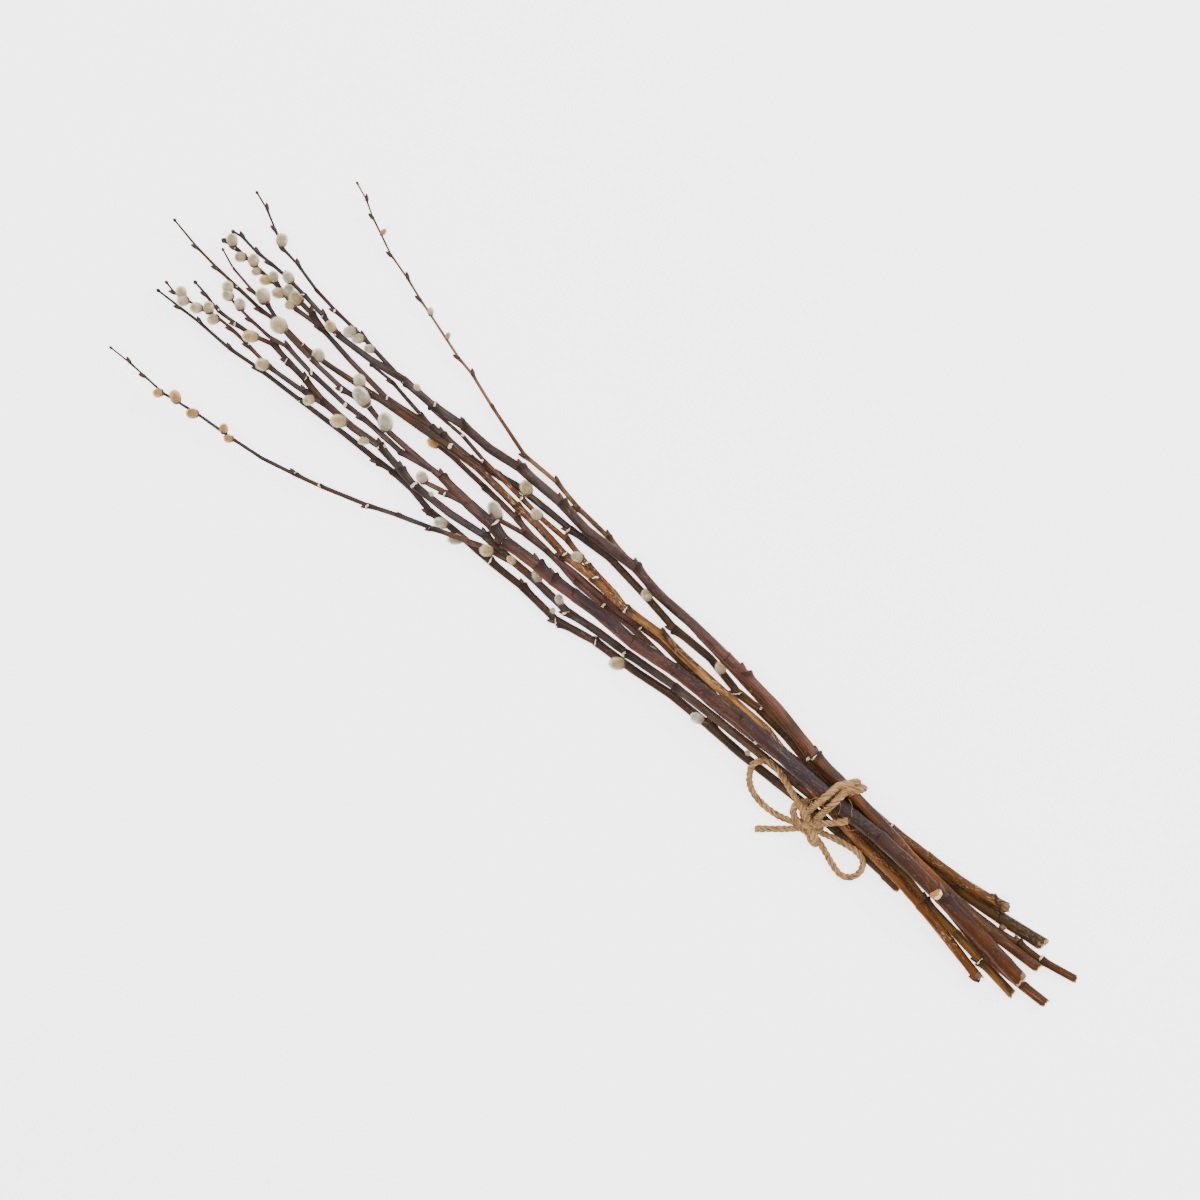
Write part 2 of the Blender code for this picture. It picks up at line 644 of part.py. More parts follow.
def make_branch(name, branch, lift, fur):
    """One branch with all that grows on it, as a single body."""
    bark = material(name + "_bark", branch["bark"], 0.62)
    bodies = []
    axis = []
    for stem in branch["stems"]:
        points = []
        for x, y, z, radius, growth in stem_points(branch, stem, RING_STEP):
            points.append((x, y, z + float(lift_value(lift, x)), radius, growth))
        for x, y, z, radius, growth in stem_points(branch, stem, 1.0):
            axis.append((x, y, z + float(lift_value(lift, x)), radius, growth))
        sides = 8 if points[0][3] > 4.0 else 6
        if stem["root_radius"]:
            sides = 5
        bodies.append((stem_body(points, sides, not stem["root_radius"]), bark))
        for index, (x, y, z, radius, growth) in enumerate(points):
            if growth in ("L", "R"):
                root, point = bud_line(Vector((x, y, z)), heading_at(points, index), radius, growth)
                bodies.append((bud_body(root, point, bud_radius(radius)), bark))
    for catkin in branch["catkins"]:
        root, centre = catkin_line(axis, catkin)
        bodies.append((catkin_body(root, centre, catkin[2], catkin[3]), fur))
    made = []
    for index, ((vertices, faces), surface) in enumerate(bodies):
        label = name if index == 0 else f"{name}_part_{index}"
        made.append(mesh_object(label, press_flat(vertices), faces, surface))
    union(made[0], made[1:])
    tidy(made[0])
    return made[0]


def hull(points):
    """Outline of the points, anticlockwise, without those inside it."""
    ordered = sorted(set((round(a, 4), round(b, 4)) for a, b in points))

    def chain(sequence):
        kept = []
        for spot in sequence:
            while len(kept) > 1:
                ax, ay = kept[-1][0] - kept[-2][0], kept[-1][1] - kept[-2][1]
                bx, by = spot[0] - kept[-2][0], spot[1] - kept[-2][1]
                if ax * by - ay * bx > 0.0:
                    break
                kept.pop()
            kept.append(spot)
        return kept[:-1]

    return chain(ordered) + chain(ordered[::-1])


def even_points(points, count, closed):
    """Points an even distance apart along a line through the given ones."""
    line = np.array(list(points) + ([points[0]] if closed else []), dtype=float)
    steps = np.linalg.norm(np.diff(line, axis=0), axis=1)
    along = np.concatenate(([0.0], np.cumsum(steps)))
    wanted = np.linspace(0.0, along[-1], count + 1 if closed else count)
    if closed:
        wanted = wanted[:-1]
    columns = [np.interp(wanted, along, line[:, axis]) for axis in range(line.shape[1])]
    return np.stack(columns, axis=1)


def turn_line(turn, laid):
    """The way of one turn of twine around the branches: the tight outline of their section."""
    outline = []
    for x, y, z, radius in laid:
        if abs(x - turn_station(turn, y)) < TWINE_D:
            for index in range(24):
                angle = 2.0 * math.pi * index / 24
                reach = radius + TWINE_D / 2 + CLEARANCE
                outline.append((y + math.cos(angle) * reach, z + math.sin(angle) * reach))
    around = even_points(hull(outline), 30, True)
    around[:, 1] = np.maximum(around[:, 1], TWINE_D / 2)
    return [Vector((turn_station(turn, y), y, z)) for y, z in around]


def smooth_line(points, step):
    """Points along a smooth curve through the given plan points."""
    given = [np.array(point, dtype=float) for point in points]
    given = [2 * given[0] - given[1]] + given + [2 * given[-1] - given[-2]]
    line = []
    for index in range(1, len(given) - 2):
        p0, p1, p2, p3 = given[index - 1:index + 3]
        for part in np.linspace(0.0, 1.0, 8, endpoint=False):
            line.append(0.5 * (2 * p1 + (p2 - p0) * part + (2 * p0 - 5 * p1 + 4 * p2 - p3) * part ** 2
                               + (3 * p1 - p0 - 3 * p2 + p3) * part ** 3))
    line.append(given[-2])
    steps = [float(np.linalg.norm(b - a)) for a, b in zip(line, line[1:])]
    return even_points(line, max(4, round(sum(steps) / step) + 1), False)


def draped(points, laid, knot_height, both_ends):
    """Heights of a run of twine that lies over the branches and down on the table."""
    fine = smooth_line(points, 1.0)
    need = np.full(len(fine), TWINE_D / 2)
    for index, (x, y) in enumerate(fine):
        reach = laid[:, 3] + TWINE_D / 2 + CLEARANCE
        over = reach ** 2 - (laid[:, 0] - x) ** 2 - (laid[:, 1] - y) ** 2
        top = laid[:, 2] + np.sqrt(np.maximum(over, 0.0))
        need[index] = max(need[index], float(np.where(over > 0.0, top, 0.0).max()))
    need[0] = max(need[0], knot_height)
    if both_ends:
        need[-1] = max(need[-1], knot_height)
    height = settled(need, TWINE_SLOPE, TWINE_EASE)
    line = [Vector((x, y, z)) for (x, y), z in zip(fine, height)]
    spots = even_points([tuple(spot) for spot in line], max(5, round(len(line) / 4.0)), False)
    return [Vector(spot) for spot in spots]


def tube(points, radius, sides, closed):
    """A round tube along points, its rings turned as little as possible from one to the next."""
    count = len(points)
    rings = []
    aside = None
    for index, point in enumerate(points):
        if closed:
            heading = (points[(index + 1) % count] - points[index - 1]).normalized()
        else:
            heading = (points[min(index + 1, count - 1)] - points[max(index - 1, 0)]).normalized()
        if aside is None:
            aside, _ = frame_of(heading)
        aside = (aside - heading * aside.dot(heading)).normalized()
        up = heading.cross(aside)
        corners = []
        for corner in range(sides):
            angle = 2.0 * math.pi * corner / sides
            corners.append(point + (aside * math.cos(angle) + up * math.sin(angle)) * radius)
        rings.append(corners)
    if not closed:
        return skin(rings, points[0], points[-1])
    vertices = [corner for corners in rings for corner in corners]
    faces = []
    for row in range(count):
        for index in range(sides):
            after = (index + 1) % sides
            low = row * sides
            high = (row + 1) % count * sides
            faces.append((low + index, low + after, high + after, high + index))
    return vertices, faces


def egg(centre, halves, sides, rows):
    """A closed egg with its long way along X."""
    rings = []
    for row in range(1, rows):
        angle = math.pi * row / rows
        corners = []
        for index in range(sides):
            around = 2.0 * math.pi * index / sides
            corners.append(centre + Vector((
                -math.cos(angle) * halves[0],
                math.sin(angle) * math.cos(around) * halves[1],
                math.sin(angle) * math.sin(around) * halves[2],
            )))
        rings.append(corners)
    start = centre - Vector((halves[0], 0.0, 0.0))
    return skin(rings, start, centre + Vector((halves[0], 0.0, 0.0)))


def make_twine(laid):
    """The tie: two tight turns, a knot at their left, two loops and two tails, fused in one."""
    jute = material("jute", TWINE_COLOUR, 0.9)
    turns = [turn_line(turn, laid) for turn in range(len(TURNS))]
    left_most = max(turns[0], key=lambda spot: spot.y)
    knot_height = left_most.z + 1.5
    radius = TWINE_D / 2
    bodies = [tube(turn, radius, 6, True) for turn in turns]
    bodies.append(egg(Vector((*KNOT, knot_height)), KNOT_HALF, 8, 6))
    for name, run in BOW_RUNS.items():
        line = draped(run, laid, knot_height, name in LOOPS)
        bodies.append(tube(line, radius, 6, False))
    made = []
    for index, (vertices, faces) in enumerate(bodies):
        label = "jute_twine" if index == 0 else f"jute_twine_part_{index}"
        made.append(mesh_object(label, press_flat(vertices), faces, jute))
    union(made[0], made[1:])
    tidy(made[0])
    return made[0]


for leftover in list(bpy.data.objects):
    bpy.data.objects.remove(leftover, do_unlink=True)

for branch_data in BRANCHES.values():
    trunk = branch_data["stems"][0]
    trunk["root_radius"] = 0.0
    for shoot in branch_data["stems"][1:]:
        shoot["root_radius"] = girth_at(trunk, shoot["nodes"][0][0])

fur_surface = material("catkin_fur", FUR_COLOUR, 0.85)
branch_lifts, laid_balls = lay_branches()
for branch_name, branch_data in BRANCHES.items():
    make_branch(branch_name, branch_data, branch_lifts[branch_name], fur_surface)
make_twine(laid_balls)
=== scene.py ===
"""A tied bunch of pussy willow, lying on a pale table and seen from straight above.

Nine cut branches with buds, scars, side shoots and furry catkins, tied by a jute twine with a bow.
"""

import math

import bpy
import numpy as np
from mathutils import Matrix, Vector


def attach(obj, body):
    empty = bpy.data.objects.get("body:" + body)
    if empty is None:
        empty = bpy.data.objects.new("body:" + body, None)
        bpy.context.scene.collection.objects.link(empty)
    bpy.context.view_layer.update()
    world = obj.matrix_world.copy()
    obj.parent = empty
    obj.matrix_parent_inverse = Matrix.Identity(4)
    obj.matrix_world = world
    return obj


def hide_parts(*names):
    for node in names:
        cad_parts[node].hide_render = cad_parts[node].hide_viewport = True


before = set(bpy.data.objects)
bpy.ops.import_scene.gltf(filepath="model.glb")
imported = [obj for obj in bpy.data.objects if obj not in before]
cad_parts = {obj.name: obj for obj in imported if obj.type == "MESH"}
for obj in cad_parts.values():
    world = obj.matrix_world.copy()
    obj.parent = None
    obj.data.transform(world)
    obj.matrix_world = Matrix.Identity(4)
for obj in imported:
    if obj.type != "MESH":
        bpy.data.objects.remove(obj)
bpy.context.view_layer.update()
scene = bpy.context.scene

# The camera hangs far above the bunch and looks straight down. The cut ends lie at the lower right
# of the picture and the tips at the upper left. The picture's width is the one at bow height.
PICTURE_WIDTH = 0.660
PICTURE_MIDDLE = (0.01038, 0.007255)
PICTURE_TURN = 220.46
CAMERA_HEIGHT = 4.61
BOW_HEIGHT = 0.01

lens = bpy.data.cameras.new("camera")
lens.sensor_width = 36.0
lens.lens = lens.sensor_width * (CAMERA_HEIGHT - BOW_HEIGHT) / PICTURE_WIDTH
lens.clip_end = 100.0
camera = bpy.data.objects.new("camera", lens)
camera.location = (*PICTURE_MIDDLE, CAMERA_HEIGHT)
camera.rotation_euler = (0.0, 0.0, math.radians(PICTURE_TURN))
scene.collection.objects.link(camera)
scene.camera = camera

# The table is a wide sheet of smooth white paper under large soft lamps, one straight above and one
# towards the upper right of the picture. It isn't part of the bunch.
SHEET_REACH = 9
SHEET_DROP = 0.0003
SHEET_GLOW = 2.4
PAPER_WHITES = ((0.90, 0.90, 0.90), (0.93, 0.93, 0.93))
LAMPS = (
    ("soft_main", (-0.6, -1.8, 2.0), 1.5, 80.0),
    ("soft_fill", (1.8, 0.9, 1.7), 2.0, 18.0),
    ("soft_top", (0.0, 0.0, 6.0), 3.5, 350.0),
)
SKY_STRENGTH = 0.57
WHITE = (1.0, 1.0, 1.0, 1.0)


def put(tree, kind, inputs=None, **settings):
    """Adds a node to a tree. Inputs are values or other nodes' outputs, by name or place."""
    made = tree.nodes.new(kind)
    for key, value in settings.items():
        setattr(made, key, value)
    for key, value in (inputs or {}).items():
        if isinstance(value, bpy.types.NodeSocket):
            tree.links.new(value, made.inputs[key])
        else:
            made.inputs[key].default_value = value
    return made


def new_surface(name, roughness):
    """A material with one shader. Returns the material, its tree and the shader."""
    made = bpy.data.materials.new(name)
    made.use_nodes = True
    shader = made.node_tree.nodes["Principled BSDF"]
    shader.inputs["Roughness"].default_value = roughness
    return made, made.node_tree, shader


def mix(tree, factor, first, second):
    """Blends two colours, each three numbers or another node's output."""
    first, second = ((*colour, 1.0) if isinstance(colour, tuple) else colour for colour in (first, second))
    return put(tree, "ShaderNodeMix", {0: factor, 6: first, 7: second}, data_type="RGBA").outputs[2]


def noise(tree, place, scale, detail=2.0):
    """Cloudy noise from 0 to 1, read at the given places."""
    return put(tree, "ShaderNodeTexNoise", {"Vector": place, "Scale": scale, "Detail": detail}).outputs[0]


def own_noise(tree, scale, detail):
    """Cloudy noise from 0 to 1 that is fixed to the piece's own coordinates."""
    return noise(tree, put(tree, "ShaderNodeTexCoord").outputs["Object"], scale, detail)


def hang_lamp(name, place, size, power):
    """A square soft lamp that points at the bunch."""
    lamp = bpy.data.lights.new(name, "AREA")
    lamp.shape = "SQUARE"
    lamp.size = size
    lamp.energy = power
    hung = bpy.data.objects.new(name, lamp)
    hung.location = place
    hung.rotation_euler = (-Vector(place)).to_track_quat("-Z", "Y").to_euler()
    scene.collection.objects.link(hung)


paper, tree, shader = new_surface("white_paper", 0.9)
cloudy = mix(tree, own_noise(tree, 50.0, 3.0), *PAPER_WHITES)
tree.links.new(cloudy, shader.inputs["Base Color"])
shader.inputs["Emission Color"].default_value = WHITE
shader.inputs["Emission Strength"].default_value = SHEET_GLOW
corners = [(x * SHEET_REACH, y * SHEET_REACH, 0) for x, y in ((-1, -1), (1, -1), (1, 1), (-1, 1))]
sheet_mesh = bpy.data.meshes.new("table")
sheet_mesh.from_pydata(corners, [], [(0, 1, 2, 3)])
sheet_mesh.materials.append(paper)
table = bpy.data.objects.new("table", sheet_mesh)
table.location.z = -SHEET_DROP
scene.collection.objects.link(table)

for lamp in LAMPS:
    hang_lamp(*lamp)
sky = bpy.data.worlds.new("studio")
scene.world = sky
sky.use_nodes = True
sky.node_tree.nodes["Background"].inputs["Color"].default_value = WHITE
sky.node_tree.nodes["Background"].inputs["Strength"].default_value = SKY_STRENGTH

# The branches are nine cut rods of pussy willow, gathered by hand. Each lies on the table, on the
# lower run of the twine and on the branches before it, and is lifted here by that rule.
MM = 0.001
TWINE_D = 3.8
CLEARANCE = 0.47
LENGTH = 660
STATION_START = -10
MIDDLE = (320.52, -17.155)
BRANCH_SLOPE = 0.10
BRANCH_EASE = 8
TURNS = ((165.0, 158.5), (157.0, 152.5))
TURN_LEFT = 7.0
TURN_RIGHT = -22.0
TURN_REST = (-25.0, 9.0, 0.5)
NEAR = 14.0
NODE_SWELL = 1.16
SHOOT_BLEND = 40.0
RISE_FROM = 0.4
BUD_BEHIND = 1.2
BUD_AHEAD = (2.6, 0.9)
BUD_ASIDE = 1.5
BUD_UP = 0.3
BUD_WIDTH = (0.75, 0.22)
BUD_BALLS = ((0.4, 1.0), (0.7, 0.85), (1.0, 0.3))
CATKIN_REACH = 0.46
CATKIN_BACK = 0.34
CATKIN_LEVEL = 0.94
CATKIN_BALLS = ((-0.72, 0.78), (-0.4, 0.96), (0.0, 1.0), (0.4, 0.93), (0.75, 0.68))

# Each stem has its diameters at some stations along the bunch, and its nodes as (station, offset,
# growth) in millimetres: L or R is a bud on that side, S a leaf scar. The first stem of a branch is
# its trunk. Catkins are (station, offset, length, width, warmth of fur).
BRANCHES = {
    "branch_01": {
        "slot": "bark_dark", "rise": 5.0,
        "stems": [{
            "girth": ((102, 5.6), (260, 5.0), (442, 3.8), (530, 2.8), (625, 1.3)),
            "nodes": (
                (102, 4.4, ""), (114, 3.2, "S"), (138, 2.1, ""), (162, 2.1, ""), (190, 3.2, ""),
                (216, 4.2, ""), (240, 3.8, "R"), (268, 4.4, ""), (291, 7.4, ""), (318, 9.2, "S"),
                (342, 14.2, "L"), (368, 12.4, "R"), (391, 13.2, "R"), (417, 12.9, ""), (434, 13.6, "L"),
                (449, 10.9, ""), (464, 10.3, "S"), (474, 11.2, "L"), (496, 11.8, ""), (528, 13.6, "S"),
                (557, 15.0, "L"), (576, 17.2, "R"), (598, 16.9, "R"), (612, 17.6, "L"), (625, 18.2, ""),
            ),
        }],
        "catkins": (
            (425, 14.6, 8.8, 6.6, 0.15), (414, 17.0, 9.9, 6.6, 0.25), (301, 10.4, 9.6, 7.8, 0.5),
            (347, 11.4, 5.0, 3.9, 0.1), (248, 4.9, 10.4, 6.2, 0.05), (215, 0.6, 5.0, 4.0, 0.3),
        ),
    },
    "branch_02": {
        "slot": "bark_dark", "rise": 12.0,
        "stems": [{
            "girth": ((17, 5.2), (197, 5.0), (404, 4.4), (512, 4.2), (560, 3.0), (612, 1.4)),
            "nodes": (
                (17, 8.0, ""), (43, 5.0, "L"), (62, 2.8, "S"), (87, 0.5, "R"), (103, -2.8, ""),
                (125, -3.9, ""), (160, -3.9, ""), (182, -3.2, "S"), (209, -2.6, ""), (241, -1.6, ""),
                (269, -0.4, "S"), (301, 2.8, "S"), (322, 4.3, ""), (340, 6.6, "L"), (367, 4.9, ""),
                (388, 5.0, ""), (402, 4.4, "R"), (424, 7.4, ""), (450, 8.4, "S"), (461, 6.8, "R"),
                (478, 4.4, "R"), (496, 6.2, ""), (518, 5.7, "S"), (533, 3.2, "R"), (547, 1.4, "L"),
                (559, -0.2, "R"), (571, 3.4, ""), (582, 4.4, "L"), (594, 5.4, "R"), (605, 2.8, "L"),
                (612, 1.8, ""),
            ),
        }, {
            "girth": ((514, 3.4), (561, 2.4), (623, 1.2)),
            "nodes": (
                (514, 6.2, ""), (529, 8.6, "R"), (553, 10.8, "R"), (569, 9.0, "L"), (582, 8.0, "L"),
                (593, 8.4, ""), (602, 10.6, "S"), (619, 13.2, "L"), (624, 12.2, ""),
            ),
        }, {
            "girth": ((378, 3.5), (427, 2.9), (514, 2.2), (572, 1.6), (623, 1.0)),
            "nodes": (
                (378, 5.0, ""), (398, 9.2, ""), (427, 20.0, "L"), (446, 26.9, "S"), (462, 33.4, "L"),
                (489, 42.4, "S"), (504, 46.6, "R"), (523, 51.4, ""), (544, 54.0, "L"), (565, 55.8, ""),
                (588, 59.4, "L"), (602, 58.8, "L"), (613, 58.6, "R"), (624, 59.0, ""),
            ),
        }],
        "catkins": (
            (571, 4.6, 11.0, 7.2, 0.65), (504, 8.4, 10.5, 7.8, 0.55), (487, 8.2, 7.2, 5.2, 0.4),
            (476, 3.4, 4.2, 3.0, 0.3), (439, 6.4, 4.6, 3.4, 0.3), (366, 2.6, 8.2, 6.6, 0.3),
            (348, 4.6, 7.7, 5.2, 0.1), (616, 10.6, 6.6, 6.6, 0.35), (612, 13.8, 6.6, 6.6, 0.35),
            (604, 12.0, 6.8, 6.6, 0.4), (599, 7.4, 6.6, 6.6, 0.35), (593, 11.0, 6.6, 6.6, 0.4),
            (556, 12.0, 7.7, 7.2, 0.4), (524, 10.2, 6.8, 6.2, 0.45), (590, 61.6, 5.6, 5.6, 0.85),
            (581, 56.6, 8.2, 6.8, 0.85), (568, 57.6, 7.4, 6.2, 0.9), (550, 52.0, 5.6, 5.6, 0.8),
            (544, 55.4, 5.2, 5.0, 0.8), (396, 9.8, 7.9, 7.2, 0.6), (382, 5.0, 7.7, 4.6, 0.65),
        ),
    },
    "branch_03": {
        "slot": "bark_red", "rise": 4.0,
        "stems": [{
            "girth": ((0, 5.6), (160, 4.9), (300, 4.2), (400, 3.6), (454, 2.8)),
            "nodes": (
                (0, 0.0, ""), (16, 0.6, "S"), (34, 1.2, ""), (52, -1.0, ""), (75, -5.2, ""),
                (100, -8.6, "S"), (130, -9.5, ""), (165, -9.5, ""), (190, -8.6, ""), (215, -7.2, "S"),
                (235, -6.6, ""), (250, -6.2, ""), (267, -7.0, ""), (282, -8.0, "S"), (308, -9.8, ""),
                (327, -9.0, "R"), (348, -8.8, "S"), (360, -10.8, ""), (383, -12.3, ""),
                (395, -14.2, "R"), (420, -16.0, "S"), (443, -17.2, ""), (454, -16.8, ""),
            ),
        }],
        "catkins": ((457, -16.4, 7.2, 6.6, 1.0), (292, -7.0, 9.9, 4.6, 0.7)),
    },
    "branch_04": {
        "slot": "bark_olive", "rise": 10.0,
        "stems": [{
            "girth": ((22, 7.6), (110, 6.2), (200, 4.9), (407, 4.0), (540, 2.9), (614, 2.0)),
            "nodes": (
                (22, -24.0, ""), (50, -19.8, "S"), (80, -16.6, "R"), (112, -15.7, ""), (140, -15.7, ""),
                (162, -15.5, ""), (180, -15.2, "S"), (203, -19.2, ""), (225, -21.0, "S"),
                (240, -20.4, "L"), (264, -25.0, ""), (290, -24.6, "L"), (312, -27.8, ""),
                (342, -31.0, ""), (369, -29.0, "L"), (391, -28.6, ""), (408, -28.0, ""),
                (417, -25.6, "R"), (436, -22.9, "S"), (456, -22.8, "R"), (463, -22.2, "S"),
                (492, -18.2, "S"), (521, -21.0, ""), (545, -24.4, "L"), (562, -23.2, "S"),
                (578, -26.2, "R"), (595, -26.6, "S"), (609, -27.4, "L"), (615, -26.4, ""),
            ),
        }, {
            "girth": ((463, 2.8), (509, 1.7)),
            "nodes": (
                (463, -22.2, ""), (473, -23.6, "S"), (487, -25.6, ""), (496, -27.2, "L"),
                (509, -26.8, ""),
            ),
        }, {
            "girth": ((543, 3.5), (562, 2.9)),
            "nodes": ((543, -24.2, ""), (554, -26.8, "R"), (562, -27.6, "")),
        }],
        "catkins": (
            (614, -29.8, 7.4, 6.6, 0.4), (604, -24.8, 6.6, 6.2, 0.45), (597, -28.4, 7.2, 6.6, 0.45),
            (592, -24.6, 5.6, 5.2, 0.4), (585, -24.4, 6.8, 6.2, 0.75), (583, -28.8, 6.8, 6.2, 0.35),
            (575, -23.6, 7.2, 6.6, 0.5), (566, -22.6, 5.6, 5.6, 0.4), (402, -30.6, 8.8, 7.8, 0.5),
            (313, -28.8, 7.4, 6.8, 0.4), (256, -24.4, 7.4, 6.8, 0.45), (568, -27.6, 9.0, 7.8, 0.5),
            (572, -29.6, 8.0, 7.0, 0.15),
        ),
    },
    "branch_05": {
        "slot": "bark_olive", "rise": 6.0,
        "stems": [{
            "girth": ((-4, 4.6), (120, 4.2), (264, 3.9), (404, 2.9)),
            "nodes": (
                (-4, -21.0, ""), (18, -16.4, "S"), (33, -15.2, "R"), (47, -12.9, ""), (62, -12.2, ""),
                (100, -12.4, ""), (139, -12.6, "S"), (165, -12.6, ""), (190, -12.8, ""),
                (222, -11.6, "S"), (247, -10.6, ""), (262, -11.6, ""), (290, -14.2, ""),
                (303, -13.4, "S"), (318, -11.9, ""), (350, -12.2, ""), (371, -11.2, "S"),
                (386, -10.6, "R"), (402, -7.4, ""),
            ),
        }],
        "catkins": ((408, -10.4, 12.1, 7.8, 0.15),),
    },
    "branch_06": {
        "slot": "bark_orange", "rise": 9.0,
        "stems": [{
            "girth": ((37, 5.6), (219, 5.2), (431, 4.4), (500, 3.6), (550, 2.9), (643, 1.1)),
            "nodes": (
                (37, 13.4, "L"), (62, 8.3, ""), (88, 3.5, "S"), (106, 0.8, ""), (126, -0.6, ""),
                (145, -2.0, ""), (165, -5.4, ""), (184, -8.4, ""), (200, -11.6, "S"), (215, -15.0, ""),
                (230, -15.0, ""), (252, -15.4, ""), (276, -16.2, ""), (291, -17.4, "R"),
                (317, -15.4, "S"), (341, -16.6, "S"), (362, -16.2, "L"), (384, -18.9, ""),
                (400, -19.4, "S"), (430, -21.6, ""), (448, -20.0, "S"), (471, -17.6, ""),
                (500, -14.8, "L"), (528, -11.3, ""), (546, -10.0, "S"), (560, -11.4, ""),
                (577, -10.4, "L"), (595, -11.4, "L"), (610, -12.2, "L"), (626, -13.8, "L"),
                (643, -16.8, ""),
            ),
        }, {
            "girth": ((317, 3.6), (389, 3.0), (469, 1.9)),
            "nodes": (
                (317, -15.4, ""), (327, -18.0, ""), (349, -20.3, "S"), (366, -23.2, "R"),
                (383, -23.1, ""), (400, -24.4, "S"), (413, -25.5, ""), (429, -26.8, "S"),
                (447, -29.6, "S"), (469, -29.6, ""),
            ),
        }],
        "catkins": (
            (536, -11.9, 7.7, 7.2, 0.15), (510, -15.9, 7.7, 7.2, 0.3), (388, -23.2, 7.2, 6.6, 0.35),
            (356, -19.4, 7.4, 7.2, 0.4),
        ),
    },
    "branch_07": {
        "slot": "bark_orange", "rise": 7.0,
        "stems": [{
            "girth": ((50, 5.6), (200, 4.8), (320, 3.4), (394, 2.7), (480, 1.6), (580, 1.0)),
            "nodes": (
                (50, -27.0, ""), (57, -24.6, "R"), (78, -21.2, ""), (101, -19.6, "S"), (128, -18.2, "S"),
                (148, -18.2, ""), (165, -17.8, ""), (187, -19.2, "S"), (204, -23.6, ""),
                (220, -24.6, ""), (249, -27.9, ""), (277, -30.9, "R"), (302, -34.0, ""),
                (335, -37.0, ""), (350, -39.2, "R"), (373, -40.7, "L"), (391, -43.8, "R"),
                (414, -43.6, "L"), (446, -52.6, "S"), (465, -58.8, "R"), (477, -61.0, "L"),
                (514, -71.8, "L"), (527, -76.0, "R"), (542, -79.9, "L"), (563, -89.2, "L"),
                (572, -94.2, "R"), (580, -97.2, ""),
            ),
        }],
        "catkins": (
            (553, -87.6, 4.6, 3.4, 0.75), (505, -70.3, 4.8, 4.0, 0.4), (489, -66.2, 4.6, 3.4, 0.75),
        ),
    },
    "branch_08": {
        "slot": "bark_red", "rise": 13.0,
        "stems": [{
            "girth": ((16, 5.6), (195, 6.2), (404, 5.5), (500, 4.4), (540, 3.0), (613, 1.5)),
            "nodes": (
                (16, -12.2, ""), (49, -10.4, "S"), (76, -11.6, ""), (108, -13.4, "S"), (134, -16.9, ""),
                (160, -19.4, ""), (185, -21.4, "R"), (218, -28.0, ""), (245, -30.4, "R"),
                (258, -31.2, "S"), (284, -32.8, ""), (308, -33.0, ""), (327, -36.2, "R"),
                (337, -35.6, ""), (361, -34.2, ""), (382, -36.6, "R"), (411, -36.6, "R"),
                (431, -33.8, ""), (450, -34.0, "R"), (470, -31.6, "S"), (492, -32.0, "S"),
                (512, -28.8, ""), (536, -27.0, "R"), (548, -30.0, "R"), (564, -32.0, "S"),
                (577, -33.2, "R"), (589, -33.4, "L"), (598, -32.9, "R"), (610, -34.2, "R"),
                (614, -33.4, ""),
            ),
        }, {
            "girth": ((496, 2.8), (560, 2.0), (618, 1.1)),
            "nodes": (
                (496, -31.8, ""), (524, -35.2, "R"), (545, -36.6, "L"), (560, -38.4, "S"),
                (577, -42.4, "R"), (588, -43.8, "L"), (599, -49.2, "L"), (610, -54.8, "R"),
                (618, -57.4, ""),
            ),
        }],
        "catkins": (
            (576, -33.6, 7.2, 6.6, 0.2), (541, -28.2, 7.4, 6.4, 0.65), (532, -31.8, 7.7, 7.2, 0.3),
            (526, -32.4, 7.2, 6.2, 0.4), (517, -32.8, 6.6, 5.2, 0.4), (483, -33.2, 5.2, 4.6, 0.7),
            (592, -47.0, 7.9, 7.2, 0.4),
        ),
    },
    "branch_09": {
        "slot": "bark_red", "rise": 15.0,
        "stems": [{
            "girth": ((19, 8.8), (200, 8.0), (330, 7.2), (424, 6.4), (448, 3.6), (560, 2.6), (612, 1.0)),
            "nodes": (
                (19, -0.8, ""), (51, -4.6, ""), (83, -7.4, "R"), (107, -9.4, ""), (130, -10.2, "S"),
                (160, -9.2, ""), (194, -9.6, ""), (229, -10.4, "S"), (252, -8.4, ""), (275, -7.2, "S"),
                (302, -3.8, "S"), (327, -4.0, ""), (343, -2.8, "S"), (358, -1.6, "R"), (370, -2.0, "R"),
                (392, -0.6, "L"), (403, -2.8, "R"), (420, -3.2, "S"), (441, -4.8, "R"), (452, -4.4, ""),
                (479, -4.8, ""), (497, -8.4, "S"), (514, -6.4, "L"), (538, -7.6, "S"), (557, -9.6, ""),
                (575, -14.6, "R"), (587, -15.4, "L"), (603, -18.0, "S"), (612, -21.4, ""),
            ),
        }, {
            "girth": ((448, 3.6), (542, 2.8), (597, 1.4)),
            "nodes": (
                (448, -4.4, ""), (467, -0.8, "S"), (495, -1.6, "L"), (507, -0.8, "S"), (533, -2.0, "S"),
                (552, -4.2, "R"), (563, -2.0, ""), (577, -2.6, "L"), (591, -3.8, ""), (597, -7.2, ""),
            ),
        }, {
            "girth": ((418, 3.8), (448, 2.7)),
            "nodes": ((418, -3.0, ""), (434, 0.2, "L"), (446, 3.2, "")),
        }],
        "catkins": (
            (580, -16.8, 8.8, 8.2, 0.3), (563, -10.2, 10.5, 9.4, 0.45), (503, -9.8, 13.2, 8.8, 0.1),
            (484, -7.8, 12.1, 8.8, 0.1), (598, -8.0, 6.6, 6.6, 0.35), (595, -4.6, 6.6, 6.6, 0.35),
            (587, -5.4, 6.8, 6.6, 0.3), (450, 2.0, 7.2, 6.8, 0.35),
        ),
    },
}


